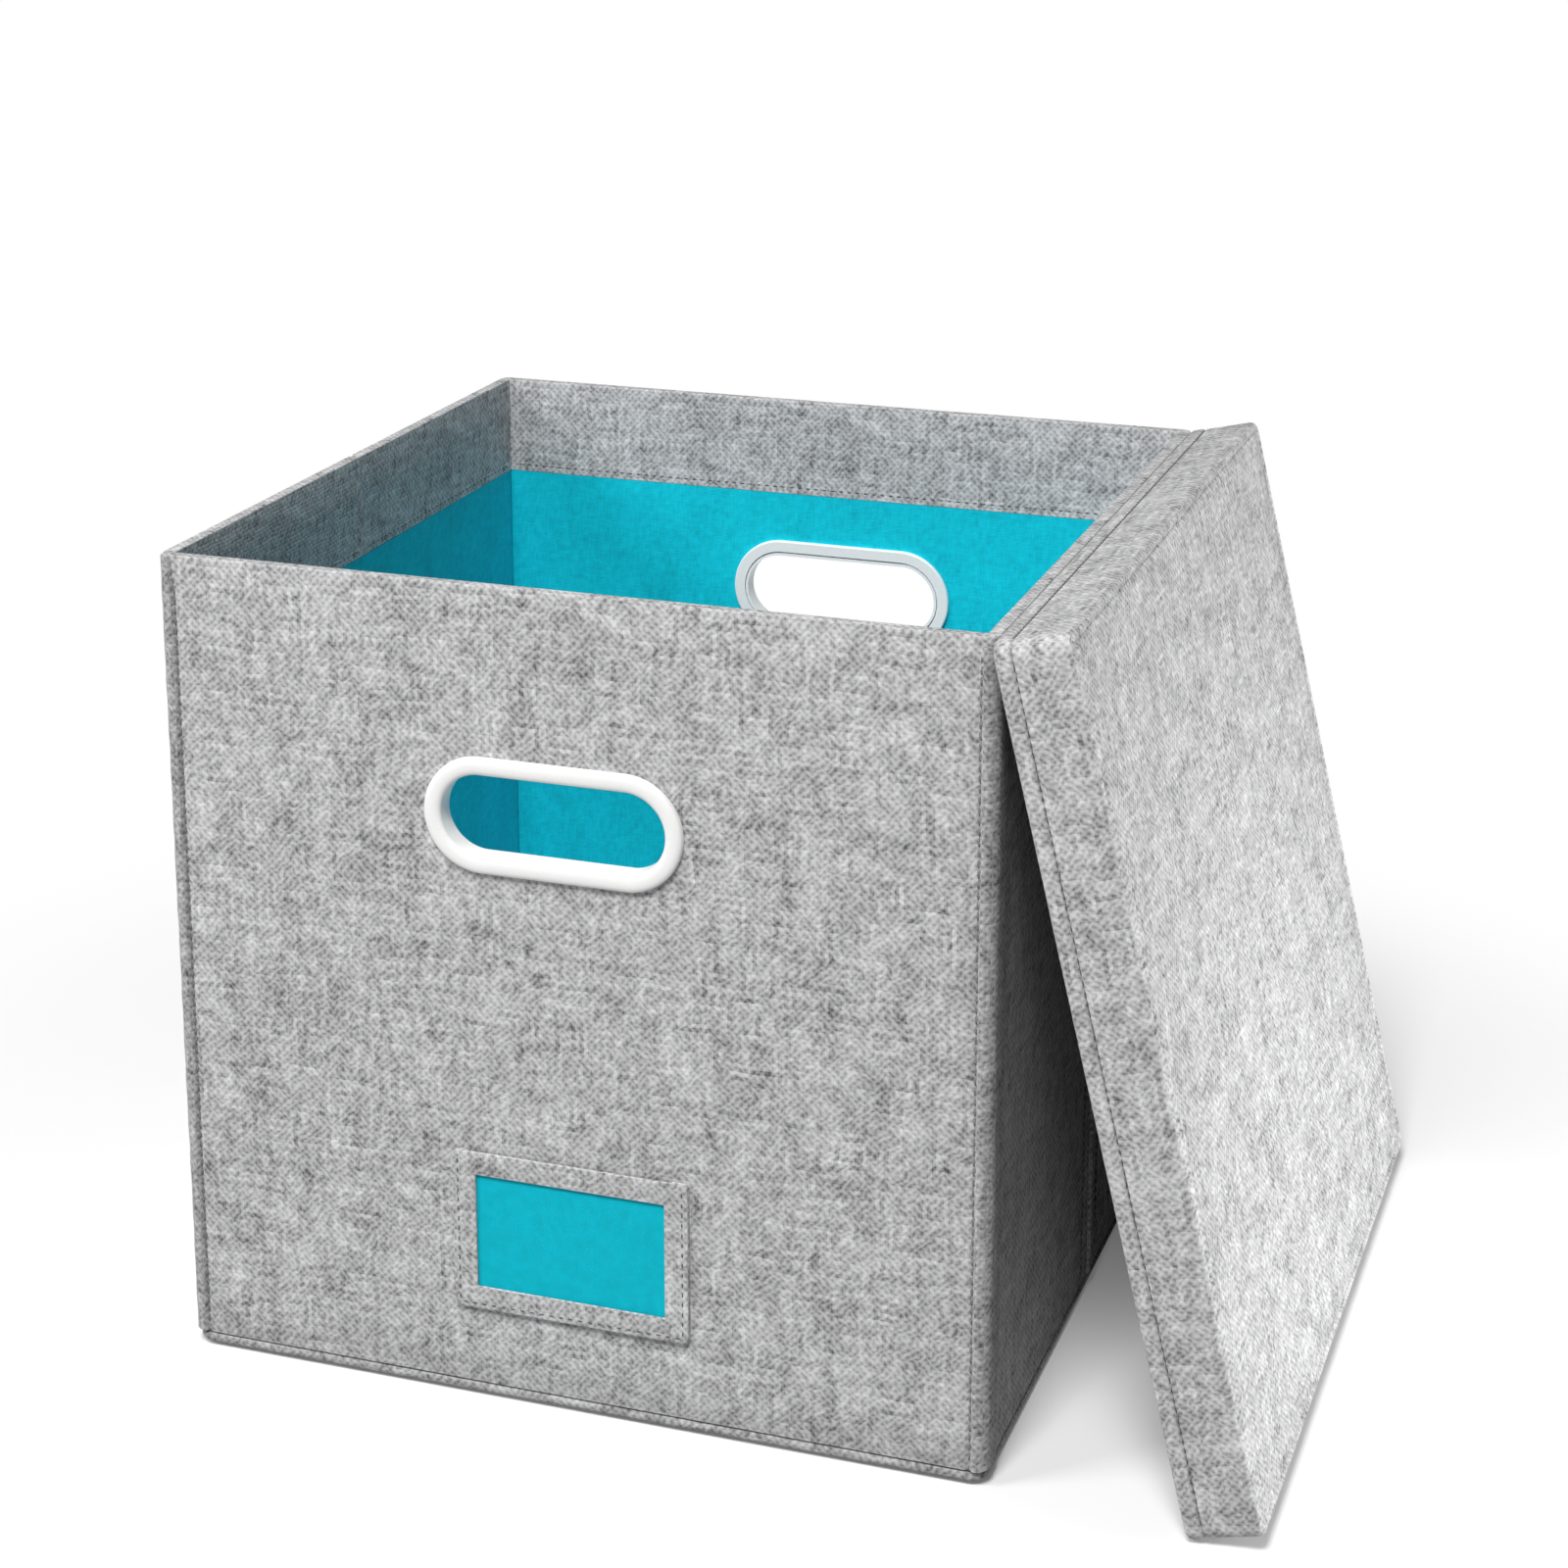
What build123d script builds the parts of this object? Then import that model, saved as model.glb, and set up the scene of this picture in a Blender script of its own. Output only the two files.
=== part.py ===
from build123d import *
import os
from math import cos, radians, sin, tan

# Linen-covered folding storage box with a loose lift-off lid leaning on its right wall.
# Millimetres. Z is up, the origin is the centre of the box's underside, the front faces -Y.

# Box, outside
box_width = 340.0
box_depth = 335.0
box_height = 342.0
rim_round = 1.0

# Wall sandwich, from outside to inside
linen = 1.0
wall_board = 3.0
wall_lining = 1.0
facing_depth = 45.0

# Folding gaps between the panels
hinge_clearance = 0.3
corner_gap = 0.4
crease_half_gap = 0.2

# Soft bottom with its upturned hem
bottom_cloth = 1.0
hem_height = 6.0
hem_width = 4.0
bottom_corner = 8.0
wall_seat_gap = 0.3

# Lift-out base insert
insert_cloth = 1.0
insert_board = 2.5
insert_side_gap = 1.2
insert_turn_in = 15.0
insert_seat_gap = 0.2
insert_corner = 5.0

# Hand hole and its two-part plastic grip
hole_width = 92.5
hole_height = 33.5
hole_below_rim = 92.0
hole_shift = -4.5
grip_border_x = 7.3
grip_border_z = 7.0
grip_proud = 2.5
grip_round = 1.8
sleeve_wall = 1.6
sleeve_cut_gap = 0.3
clip_flange = 1.8
clip_border = 7.0
clip_fit = 0.1
clip_round = 0.8

# Label pocket low on the front
window_width = 80.0
window_height = 48.5
window_above_floor = 74.0
pocket_border = 10.0
pocket_cloth = 0.8
pocket_film = 0.25
card_thickness = 0.5
card_overlap = 3.0
card_gap = 0.2

# Cloth strip sewn over each upright corner
strip_cloth = 0.6
strip_width = 12.0
strip_gap = 0.3
strip_top_gap = 8.0

# Lid
lid_clearance = 2.0
lid_depth = 30.0
lid_plate_board = 3.0
lid_skirt_board = 2.0
lid_lining_cloth = 1.0
lid_hem_width = 7.0
lid_corner = 5.0
lid_plate_round = 1.6
lid_lean = 13.4
lid_wall_gap = 0.3
lid_shift_y = -6.0

# Worked out
wall_thickness = linen + wall_board + wall_lining
wall_bottom = hem_height + wall_seat_gap
hole_centre_z = box_height - hole_below_rim
sleeve_width = hole_width + 2 * sleeve_wall
sleeve_height = hole_height + 2 * sleeve_wall
lid_skirt = linen + lid_skirt_board + lid_lining_cloth
lid_length = box_width + 2 * (lid_clearance + lid_skirt)
lid_width = box_depth + 2 * (lid_clearance + lid_skirt)

# Each wall panel: its outer face as a plane that looks outward, and its span along it
front_plane = Plane(origin=(0, -box_depth / 2, 0), x_dir=(1, 0, 0), z_dir=(0, -1, 0))
back_plane = Plane(origin=(0, box_depth / 2, 0), x_dir=(-1, 0, 0), z_dir=(0, 1, 0))
right_plane = Plane(origin=(box_width / 2, 0, 0), x_dir=(0, 1, 0), z_dir=(1, 0, 0))
left_plane = Plane(origin=(-box_width / 2, 0, 0), x_dir=(0, -1, 0), z_dir=(-1, 0, 0))
end_span = (-box_width / 2, box_width / 2)
side_reach = box_depth / 2 - wall_thickness - corner_gap
near_span = (-side_reach, -crease_half_gap)
far_span = (crease_half_gap, side_reach)

panels = {
    "front_wall": (front_plane, end_span, True),
    "back_wall": (back_plane, end_span, True),
    "right_front_half": (right_plane, near_span, False),
    "right_rear_half": (right_plane, far_span, False),
    "left_rear_half": (left_plane, near_span, False),
    "left_front_half": (left_plane, far_span, False),
}

os.makedirs("parts", exist_ok=True)


def keep(builder, name):
    builder.part.label = name
    export_step(builder.part, f"parts/{name}.step")


def make_wall_cover(name, plane, span, has_hole):
    # One piece of linen wrapped round the board: outer face, rim, ends and inner facing
    middle = (span[0] + span[1]) / 2
    length = span[1] - span[0]
    outward = Axis(plane.origin, plane.z_dir)
    with BuildPart() as cover:
        with BuildSketch(plane):
            with Locations((middle, (wall_bottom + box_height) / 2)):
                Rectangle(length, box_height - wall_bottom)
        extrude(amount=-wall_thickness)
        rim_edges = cover.edges().group_by(Axis.Z)[-1].sort_by(SortBy.LENGTH)[-2:]
        fillet(rim_edges, radius=rim_round)
        if has_hole:
            fillet(cover.edges().filter_by(Axis.Z).group_by(outward)[-1], radius=rim_round)
        with BuildSketch(plane.offset(-linen)):
            with Locations((middle, (wall_bottom + box_height) / 2)):
                Rectangle(length - 2 * linen, box_height - wall_bottom - 2 * linen)
        extrude(amount=-wall_board, mode=Mode.SUBTRACT)
        with BuildSketch(plane.offset(-linen - wall_board)):
            lining_low = wall_bottom + linen
            lining_high = box_height - facing_depth
            with Locations((middle, (lining_low + lining_high) / 2)):
                Rectangle(length - 2 * linen, lining_high - lining_low)
        extrude(amount=-wall_lining, mode=Mode.SUBTRACT)
        if has_hole:
            with BuildSketch(plane):
                with Locations((hole_shift, hole_centre_z)):
                    SlotOverall(sleeve_width + 2 * sleeve_cut_gap, sleeve_height + 2 * sleeve_cut_gap)
            extrude(amount=-wall_thickness, mode=Mode.SUBTRACT)
    keep(cover, name + "_cover")


def make_wall_board(name, plane, span, has_hole):
    middle = (span[0] + span[1]) / 2
    length = span[1] - span[0]
    with BuildPart() as board:
        with BuildSketch(plane.offset(-linen)):
            with Locations((middle, (wall_bottom + box_height) / 2)):
                Rectangle(length - 2 * linen, box_height - wall_bottom - 2 * linen)
            if has_hole:
                with Locations((hole_shift, hole_centre_z)):
                    SlotOverall(
                        sleeve_width + 2 * sleeve_cut_gap,
                        sleeve_height + 2 * sleeve_cut_gap,
                        mode=Mode.SUBTRACT,
                    )
        extrude(amount=-wall_board)
    keep(board, name + "_board")


def make_wall_lining(name, plane, span, has_hole):
    middle = (span[0] + span[1]) / 2
    length = span[1] - span[0]
    low = wall_bottom + linen
    high = box_height - facing_depth
    with BuildPart() as sheet:
        with BuildSketch(plane.offset(-linen - wall_board)):
            with Locations((middle, (low + high) / 2)):
                Rectangle(length - 2 * linen, high - low)
            if has_hole:
                with Locations((hole_shift, hole_centre_z)):
                    SlotOverall(
                        sleeve_width + 2 * sleeve_cut_gap,
                        sleeve_height + 2 * sleeve_cut_gap,
                        mode=Mode.SUBTRACT,
                    )
        extrude(amount=-wall_lining)
    keep(sheet, name + "_lining")


def make_grip_ring(name, plane):
    # Outer half of the grip: a rounded border on the wall and a sleeve through it
    outward = Axis(plane.origin, plane.z_dir)
    grip_width = hole_width + 2 * grip_border_x
    grip_height = hole_height + 2 * grip_border_z
    with BuildPart() as ring:
        with BuildSketch(plane):
            with Locations((hole_shift, hole_centre_z)):
                SlotOverall(grip_width, grip_height)
        extrude(amount=grip_proud)
        with BuildSketch(plane):
            with Locations((hole_shift, hole_centre_z)):
                SlotOverall(sleeve_width, sleeve_height)
        extrude(amount=-wall_thickness - clip_flange)
        with BuildSketch(plane.offset(grip_proud)):
            with Locations((hole_shift, hole_centre_z)):
                SlotOverall(hole_width, hole_height)
        extrude(amount=-grip_proud - wall_thickness - clip_flange, mode=Mode.SUBTRACT)
        fillet(ring.faces().sort_by(outward)[-1].edges(), radius=grip_round)
    keep(ring, name)


def make_grip_clip(name, plane):
    # Inner half of the grip: a flat flange pressed round the end of the sleeve
    inward = Axis(plane.origin, -plane.z_dir)
    with BuildPart() as clip:
        with BuildSketch(plane.offset(-wall_thickness)):
            with Locations((hole_shift, hole_centre_z)):
                SlotOverall(hole_width + 2 * clip_border, hole_height + 2 * clip_border)
                SlotOverall(
                    sleeve_width + 2 * clip_fit,
                    sleeve_height + 2 * clip_fit,
                    mode=Mode.SUBTRACT,
                )
        extrude(amount=-clip_flange)
        rim = clip.faces().sort_by(inward)[-1].outer_wire().edges()
        fillet(rim, radius=clip_round)
    keep(clip, name)


def make_corner_strip(name, side, end):
    # An L of cloth: one leg sewn on the end wall, the other over the side wall's hinge line
    corner_x = box_width / 2 + strip_gap + strip_cloth
    face_y = box_depth / 2
    low = wall_bottom
    high = box_height - strip_top_gap
    with BuildPart() as strip:
        with BuildSketch(Plane.XY.offset(low)):
            with BuildLine():
                Polyline(
                    (side * (box_width / 2 - strip_width), end * face_y),
                    (side * (box_width / 2 - strip_width), end * (face_y + strip_cloth)),
                    (side * corner_x, end * (face_y + strip_cloth)),
                    (side * corner_x, end * (face_y - strip_width)),
                    (side * (corner_x - strip_cloth), end * (face_y - strip_width)),
                    (side * (corner_x - strip_cloth), end * face_y),
                    close=True,
                )
            make_face()
        extrude(amount=high - low)
    keep(strip, name)


# The six wall panels
for panel_name, (panel_plane, panel_span, panel_hole) in panels.items():
    make_wall_cover(panel_name, panel_plane, panel_span, panel_hole)
    make_wall_board(panel_name, panel_plane, panel_span, panel_hole)
    make_wall_lining(panel_name, panel_plane, panel_span, panel_hole)

# Grips at front and back
for end_name, end_plane in (("front", front_plane), ("back", back_plane)):
    make_grip_ring(end_name + "_grip_ring", end_plane)
    make_grip_clip(end_name + "_grip_clip", end_plane)

# Strips over the four upright corners
for end_name, end in (("front", -1), ("back", 1)):
    for side_name, side in (("left", -1), ("right", 1)):
        make_corner_strip(f"{end_name}_{side_name}_corner_strip", side, end)

# Label pocket: a cloth frame open at its top, a clear film behind its window, and the card
card_width = window_width + 2 * card_overlap
card_height = window_height + 2 * card_overlap
slot_width = card_width + 2 * card_gap
slot_low = window_above_floor - card_height / 2 - card_gap
slot_high = window_above_floor + window_height / 2 + pocket_border
slot_depth = card_gap + card_thickness + card_gap + pocket_film

with BuildPart() as label_pocket:
    with BuildSketch(front_plane):
        with Locations((0, window_above_floor)):
            Rectangle(window_width + 2 * pocket_border, window_height + 2 * pocket_border)
    extrude(amount=slot_depth + pocket_cloth)
    with BuildSketch(front_plane):
        with Locations((0, (slot_low + slot_high) / 2)):
            Rectangle(slot_width, slot_high - slot_low)
    extrude(amount=slot_depth, mode=Mode.SUBTRACT)
    with BuildSketch(front_plane):
        with Locations((0, window_above_floor)):
            Rectangle(window_width, window_height)
    extrude(amount=slot_depth + pocket_cloth, mode=Mode.SUBTRACT)
keep(label_pocket, "label_pocket")

with BuildPart() as label_film:
    with BuildSketch(front_plane.offset(slot_depth - pocket_film)):
        with Locations((0, (slot_low + slot_high) / 2)):
            Rectangle(slot_width, slot_high - slot_low)
    extrude(amount=pocket_film)
keep(label_film, "label_film")

with BuildPart() as label_card:
    with BuildSketch(front_plane.offset(card_gap)):
        with Locations((0, window_above_floor)):
            Rectangle(card_width, card_height)
    extrude(amount=card_thickness)
keep(label_card, "label_card")

# Soft bottom: a sheet of cloth with a hem standing up round its edge
with BuildPart() as bottom_cloth_tray:
    with BuildSketch(Plane.XY):
        RectangleRounded(box_width, box_depth, bottom_corner)
    extrude(amount=hem_height)
    with BuildSketch(Plane.XY.offset(bottom_cloth)):
        RectangleRounded(
            box_width - 2 * hem_width,
            box_depth - 2 * hem_width,
            bottom_corner - hem_width,
        )
    extrude(amount=hem_height, mode=Mode.SUBTRACT)
keep(bottom_cloth_tray, "bottom_cloth")

# Base insert: board in a linen cover that is turned in underneath, with a backing sheet
insert_width = box_width - 2 * wall_thickness - 2 * insert_side_gap
insert_depth = box_depth - 2 * wall_thickness - 2 * clip_flange - 2 * insert_side_gap
insert_low = bottom_cloth + insert_seat_gap
insert_thickness = insert_board + 2 * insert_cloth

with BuildPart() as base_cover:
    with BuildSketch(Plane.XY.offset(insert_low)):
        RectangleRounded(insert_width, insert_depth, insert_corner)
    extrude(amount=insert_thickness)
    with BuildSketch(Plane.XY.offset(insert_low + insert_cloth)):
        RectangleRounded(
            insert_width - 2 * insert_cloth,
            insert_depth - 2 * insert_cloth,
            insert_corner - insert_cloth,
        )
    extrude(amount=insert_board, mode=Mode.SUBTRACT)
    with BuildSketch(Plane.XY.offset(insert_low)):
        Rectangle(insert_width - 2 * insert_turn_in, insert_depth - 2 * insert_turn_in)
    extrude(amount=insert_cloth, mode=Mode.SUBTRACT)
keep(base_cover, "base_cover")

with BuildPart() as base_board:
    with BuildSketch(Plane.XY.offset(insert_low + insert_cloth)):
        RectangleRounded(
            insert_width - 2 * insert_cloth,
            insert_depth - 2 * insert_cloth,
            insert_corner - insert_cloth,
        )
    extrude(amount=insert_board)
keep(base_board, "base_board")

with BuildPart() as base_backing:
    with BuildSketch(Plane.XY.offset(insert_low)):
        Rectangle(insert_width - 2 * insert_turn_in, insert_depth - 2 * insert_turn_in)
    extrude(amount=insert_cloth)
keep(base_backing, "base_backing")

# Lid, in its own plane: local X runs up the lean from the foot, local Z looks out of the plate
lean = radians(lid_lean)
rim_reach = min(box_height / cos(lean), lid_length)
lid_foot_x = box_width / 2 + lid_wall_gap + rim_reach * sin(lean)
lid_plane = Plane(
    origin=(lid_foot_x, lid_shift_y, 0),
    x_dir=(-sin(lean), 0, cos(lean)),
    z_dir=(cos(lean), 0, sin(lean)),
)
lid_board_low = lid_depth - linen - lid_plate_board
skirt_inset = linen + lid_skirt_board

with BuildPart() as lid_cover:
    with BuildSketch(lid_plane.offset(lid_hem_width)):
        with Locations((lid_length / 2, 0)):
            RectangleRounded(lid_length, lid_width, lid_corner)
    extrude(amount=lid_depth - lid_hem_width)
    lid_outward = Axis(lid_plane.origin, lid_plane.z_dir)
    fillet(lid_cover.faces().sort_by(lid_outward)[-1].edges(), radius=lid_plate_round)
    with BuildSketch(lid_plane.offset(lid_hem_width)):
        with Locations((lid_length / 2, 0)):
            RectangleRounded(lid_length - 2 * linen, lid_width - 2 * linen, lid_corner - linen)
    extrude(amount=lid_depth - linen - lid_hem_width, mode=Mode.SUBTRACT)
keep(lid_cover, "lid_cover")

with BuildPart() as lid_hem:
    with BuildSketch(lid_plane):
        with Locations((lid_length / 2, 0)):
            RectangleRounded(lid_length, lid_width, lid_corner)
            RectangleRounded(
                lid_length - 2 * lid_skirt,
                lid_width - 2 * lid_skirt,
                lid_corner - lid_skirt,
                mode=Mode.SUBTRACT,
            )
    extrude(amount=lid_hem_width)
    with BuildSketch(lid_plane.offset(linen)):
        with Locations((lid_length / 2, 0)):
            RectangleRounded(lid_length - 2 * linen, lid_width - 2 * linen, lid_corner - linen)
            RectangleRounded(
                lid_length - 2 * skirt_inset,
                lid_width - 2 * skirt_inset,
                lid_corner - skirt_inset,
                mode=Mode.SUBTRACT,
            )
    extrude(amount=lid_hem_width - linen, mode=Mode.SUBTRACT)
keep(lid_hem, "lid_hem")

with BuildPart() as lid_plate_board_part:
    with BuildSketch(lid_plane.offset(lid_board_low)):
        with Locations((lid_length / 2, 0)):
            RectangleRounded(lid_length - 2 * linen, lid_width - 2 * linen, lid_corner - linen)
    extrude(amount=lid_plate_board)
keep(lid_plate_board_part, "lid_plate_board")

with BuildPart() as lid_lining:
    with BuildSketch(lid_plane.offset(lid_hem_width)):
        with Locations((lid_length / 2, 0)):
            RectangleRounded(
                lid_length - 2 * skirt_inset,
                lid_width - 2 * skirt_inset,
                lid_corner - skirt_inset,
            )
    extrude(amount=lid_board_low - lid_hem_width)
    with BuildSketch(lid_plane.offset(lid_hem_width)):
        with Locations((lid_length / 2, 0)):
            RectangleRounded(
                lid_length - 2 * lid_skirt,
                lid_width - 2 * lid_skirt,
                lid_corner - lid_skirt,
            )
    extrude(amount=lid_board_low - lid_lining_cloth - lid_hem_width, mode=Mode.SUBTRACT)
keep(lid_lining, "lid_lining")

# Boards inside the lid's skirt: centre and size in the lid's own plane
skirt_mid = linen + lid_skirt_board / 2
skirt_boards = {
    "lower": (skirt_mid, 0, lid_skirt_board, lid_width - 2 * lid_corner),
    "upper": (lid_length - skirt_mid, 0, lid_skirt_board, lid_width - 2 * lid_corner),
    "front": (lid_length / 2, lid_width / 2 - skirt_mid, lid_length - 2 * lid_corner, lid_skirt_board),
    "rear": (lid_length / 2, skirt_mid - lid_width / 2, lid_length - 2 * lid_corner, lid_skirt_board),
}
for edge_name, (centre_s, centre_y, size_s, size_y) in skirt_boards.items():
    with BuildPart() as skirt_board:
        with BuildSketch(lid_plane.offset(linen)):
            with Locations((centre_s, centre_y)):
                Rectangle(size_s, size_y)
        extrude(amount=lid_board_low - linen)
    keep(skirt_board, f"lid_skirt_board_{edge_name}")
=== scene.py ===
import bmesh
import bpy
from math import cos, pi, radians, sin
from mathutils import Matrix, Vector


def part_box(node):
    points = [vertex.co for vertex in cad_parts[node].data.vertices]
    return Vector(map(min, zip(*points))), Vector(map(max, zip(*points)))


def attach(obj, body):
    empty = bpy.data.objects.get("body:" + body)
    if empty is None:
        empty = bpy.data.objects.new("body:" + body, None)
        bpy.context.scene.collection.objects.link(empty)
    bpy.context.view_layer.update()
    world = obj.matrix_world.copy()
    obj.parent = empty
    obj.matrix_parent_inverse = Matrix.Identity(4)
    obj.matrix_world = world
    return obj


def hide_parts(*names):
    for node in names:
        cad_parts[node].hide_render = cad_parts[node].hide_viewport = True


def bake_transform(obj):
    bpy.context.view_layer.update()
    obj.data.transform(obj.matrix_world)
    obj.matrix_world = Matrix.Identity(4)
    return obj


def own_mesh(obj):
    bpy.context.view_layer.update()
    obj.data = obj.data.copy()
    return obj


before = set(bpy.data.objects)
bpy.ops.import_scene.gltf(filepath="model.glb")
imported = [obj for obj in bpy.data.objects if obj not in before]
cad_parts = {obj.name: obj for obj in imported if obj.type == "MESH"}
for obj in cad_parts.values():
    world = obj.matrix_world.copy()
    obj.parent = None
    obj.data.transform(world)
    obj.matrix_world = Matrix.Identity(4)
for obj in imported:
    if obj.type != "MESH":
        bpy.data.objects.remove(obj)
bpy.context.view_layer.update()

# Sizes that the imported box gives
frontLow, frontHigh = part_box("front_wall_cover")
sideLow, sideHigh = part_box("right_front_half_cover")
ringLow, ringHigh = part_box("front_grip_ring")
boxWidth = frontHigh.x - frontLow.x
boxDepth = -2 * frontLow.y
boxHeight = frontHigh.z
wallBottom = frontLow.z
wallThickness = frontHigh.y - frontLow.y
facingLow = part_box("front_wall_lining")[1].z
sideReach = -sideLow.y
creaseGap = -sideHigh.y
holeShift = (ringLow.x + ringHigh.x) / 2
holeRise = (ringLow.z + ringHigh.z) / 2
tiny = 0.00002
seamOffsets = (-1, -0.4, 0, 0.4, 1)  # where the cloth beside a seam is cut, as shares of its half width


def note(words):
    print("stage:", words)


# Small helpers for modelling

def activate(obj):
    if bpy.context.object and bpy.context.object.mode != "OBJECT":
        bpy.ops.object.mode_set(mode="OBJECT")
    bpy.ops.object.select_all(action="DESELECT")
    obj.select_set(True)
    bpy.context.view_layer.objects.active = obj


def applyPlace(obj):
    activate(obj)
    bpy.ops.object.transform_apply(location=True, rotation=True, scale=True)


def addBlock(name, low, high):
    bpy.ops.object.select_all(action="DESELECT")
    bpy.ops.mesh.primitive_cube_add(size=1, location=(Vector(low) + Vector(high)) / 2)
    obj = bpy.context.object
    obj.name = name
    obj.scale = Vector(high) - Vector(low)
    applyPlace(obj)
    return obj


def pick(obj, kind, test):
    # Leaves the object in edit mode with only what passes the test selected
    activate(obj)
    bpy.ops.object.mode_set(mode="EDIT")
    bpy.context.tool_settings.mesh_select_mode = [kind == word for word in ("VERT", "EDGE", "FACE")]
    bpy.ops.mesh.select_all(action="DESELECT")
    mesh = bmesh.from_edit_mesh(obj.data)
    for item in {"VERT": mesh.verts, "EDGE": mesh.edges, "FACE": mesh.faces}[kind]:
        if test(item):
            item.select_set(True)
    mesh.select_flush_mode()
    bmesh.update_edit_mesh(obj.data)


def finishEdit():
    bpy.ops.object.mode_set(mode="OBJECT")


def extrudeBy(x, y, z):
    bpy.ops.mesh.extrude_region_move(TRANSFORM_OT_translate={"value": (x, y, z)})


def middleOf(edge):
    return (edge.verts[0].co + edge.verts[1].co) / 2


def runsAlong(edge, axis):
    step = edge.verts[1].co - edge.verts[0].co
    return abs(step[axis]) > 0.99 * step.length


def near(value, target):
    return abs(value - target) < tiny


def liesAt(edge, axis, target):
    return all(near(vert.co[axis], target) for vert in edge.verts)


def meetsSide(edge, axis):
    # Whether a face that stands along the axis touches the edge
    return any(abs(face.normal[axis]) < 0.5 for face in edge.link_faces)


def borderOf(a, b, low, high):
    # How far a place lies inside the nearest of four straight borders
    return min(a - low[0], high[0] - a, b - low[1], high[1] - b)


def subdivideAlong(obj, axis, cuts):
    pick(obj, "EDGE", lambda edge: runsAlong(edge, axis))
    bpy.ops.mesh.subdivide(number_cuts=cuts)
    finishEdit()


def bisectAt(obj, place, normal):
    pick(obj, "FACE", lambda face: True)
    bpy.ops.mesh.bisect(plane_co=place, plane_no=normal)
    finishEdit()


def bisectGrid(obj, low, high, strips):
    for step in range(1, strips):
        bisectAt(obj, (low[0] + (high[0] - low[0]) * step / strips, 0, 0), (1, 0, 0))
        bisectAt(obj, (0, low[1] + (high[1] - low[1]) * step / strips, 0), (0, 1, 0))


def bevelEdges(obj, test, width, segments):
    pick(obj, "EDGE", test)
    bpy.ops.mesh.bevel(offset=width, segments=segments, profile=0.5, affect="EDGES", clamp_overlap=True)
    finishEdit()


def useModifier(obj, kind, **values):
    activate(obj)
    modifier = obj.modifiers.new(kind.lower(), kind)
    for key, value in values.items():
        setattr(modifier, key, value)
    bpy.ops.object.modifier_apply(modifier=modifier.name)


def smooth(obj, degrees):
    activate(obj)
    bpy.ops.object.shade_smooth_by_angle(angle=radians(degrees))


def unwrap(obj):
    # Each face takes its pattern straight on, with one metre to a unit
    pick(obj, "FACE", lambda face: True)
    bpy.ops.uv.cube_project(cube_size=1.0, correct_aspect=False, scale_to_bounds=False)
    finishEdit()


def turnAbout(obj, degrees):
    obj.rotation_euler = (0, 0, radians(degrees))
    applyPlace(obj)


def ripple(a, b, seed):
    # A slow unevenness between -1 and 1, for a point in metres
    return (
        0.45 * sin(31 * a + 1.3 + seed) * cos(23 * b + seed)
        + 0.35 * sin(67 * a + 41 * b + 2 * seed)
        + 0.20 * cos(90 * b - 15 * a + 2 - seed)
    )


def swellAt(a, b, seed):
    return 0.5 + 0.5 * ripple(a, b, seed)


def fadeIn(distance, reach):
    share = min(max(distance / reach, 0.0), 1.0)
    return share * share * (3 - 2 * share)


# Shader helpers

def addNode(tree, kind, inputs, **settings):
    # Each input is given a value or the socket that feeds it
    node = tree.nodes.new("ShaderNode" + kind)
    for key, value in settings.items():
        setattr(node, key, value)
    for key, value in inputs.items():
        if isinstance(value, bpy.types.NodeSocket):
            tree.links.new(value, node.inputs[key])
        else:
            node.inputs[key].default_value = value
    return node


def calc(tree, operation, *values):
    return addNode(tree, "Math", dict(enumerate(values)), operation=operation).outputs[0]


def mixValues(tree, factor, first, second):
    # first where the factor is 0, second where it is 1
    return calc(tree, "MULTIPLY_ADD", factor, calc(tree, "SUBTRACT", second, first), first)


def joinVector(tree, x, y):
    return addNode(tree, "CombineXYZ", {0: x, 1: y}).outputs[0]


def addNoise(tree, vector, scale, detail=2.0, roughness=0.5):
    inputs = {"Vector": vector, "Scale": scale, "Detail": detail, "Roughness": roughness}
    return addNode(tree, "TexNoise", inputs, noise_dimensions="2D").outputs["Fac"]


def addGrain(tree, scale, detail=2.0):
    # Noise that lies fixed in the piece
    place = addNode(tree, "TexCoord", {}).outputs["Object"]
    return addNode(tree, "TexNoise", {"Vector": place, "Scale": scale, "Detail": detail}).outputs["Fac"]


def addBump(tree, shader, height, strength, depth):
    bump = addNode(tree, "Bump", {"Strength": strength, "Distance": depth, "Height": height})
    tree.links.new(bump.outputs[0], shader.inputs["Normal"])


def seenRays(tree):
    # 1 where a ray shows the surface itself, 0 where it only carries its light
    path = addNode(tree, "LightPath", {}).outputs
    seen = calc(tree, "MAXIMUM", path["Is Camera Ray"], path["Is Glossy Ray"])
    return calc(tree, "MAXIMUM", seen, path["Is Transmission Ray"])


def addRamp(tree, factor, stops):
    node = tree.nodes.new("ShaderNodeValToRGB")
    node.color_ramp.elements[0].position = stops[0][0]
    node.color_ramp.elements[0].color = (*stops[0][1], 1)
    node.color_ramp.elements[1].position = stops[-1][0]
    node.color_ramp.elements[1].color = (*stops[-1][1], 1)
    for place, colour in stops[1:-1]:
        node.color_ramp.elements.new(place).color = (*colour, 1)
    tree.links.new(factor, node.inputs["Fac"])
    return node.outputs["Color"]


def fromScreen(red, green, blue):
    # Colours are written as they look on a screen, 0 to 255
    def toLinear(value):
        share = value / 255
        return share / 12.92 if share <= 0.04045 else ((share + 0.055) / 1.055) ** 2.4

    return tuple(toLinear(value) for value in (red, green, blue))


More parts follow.
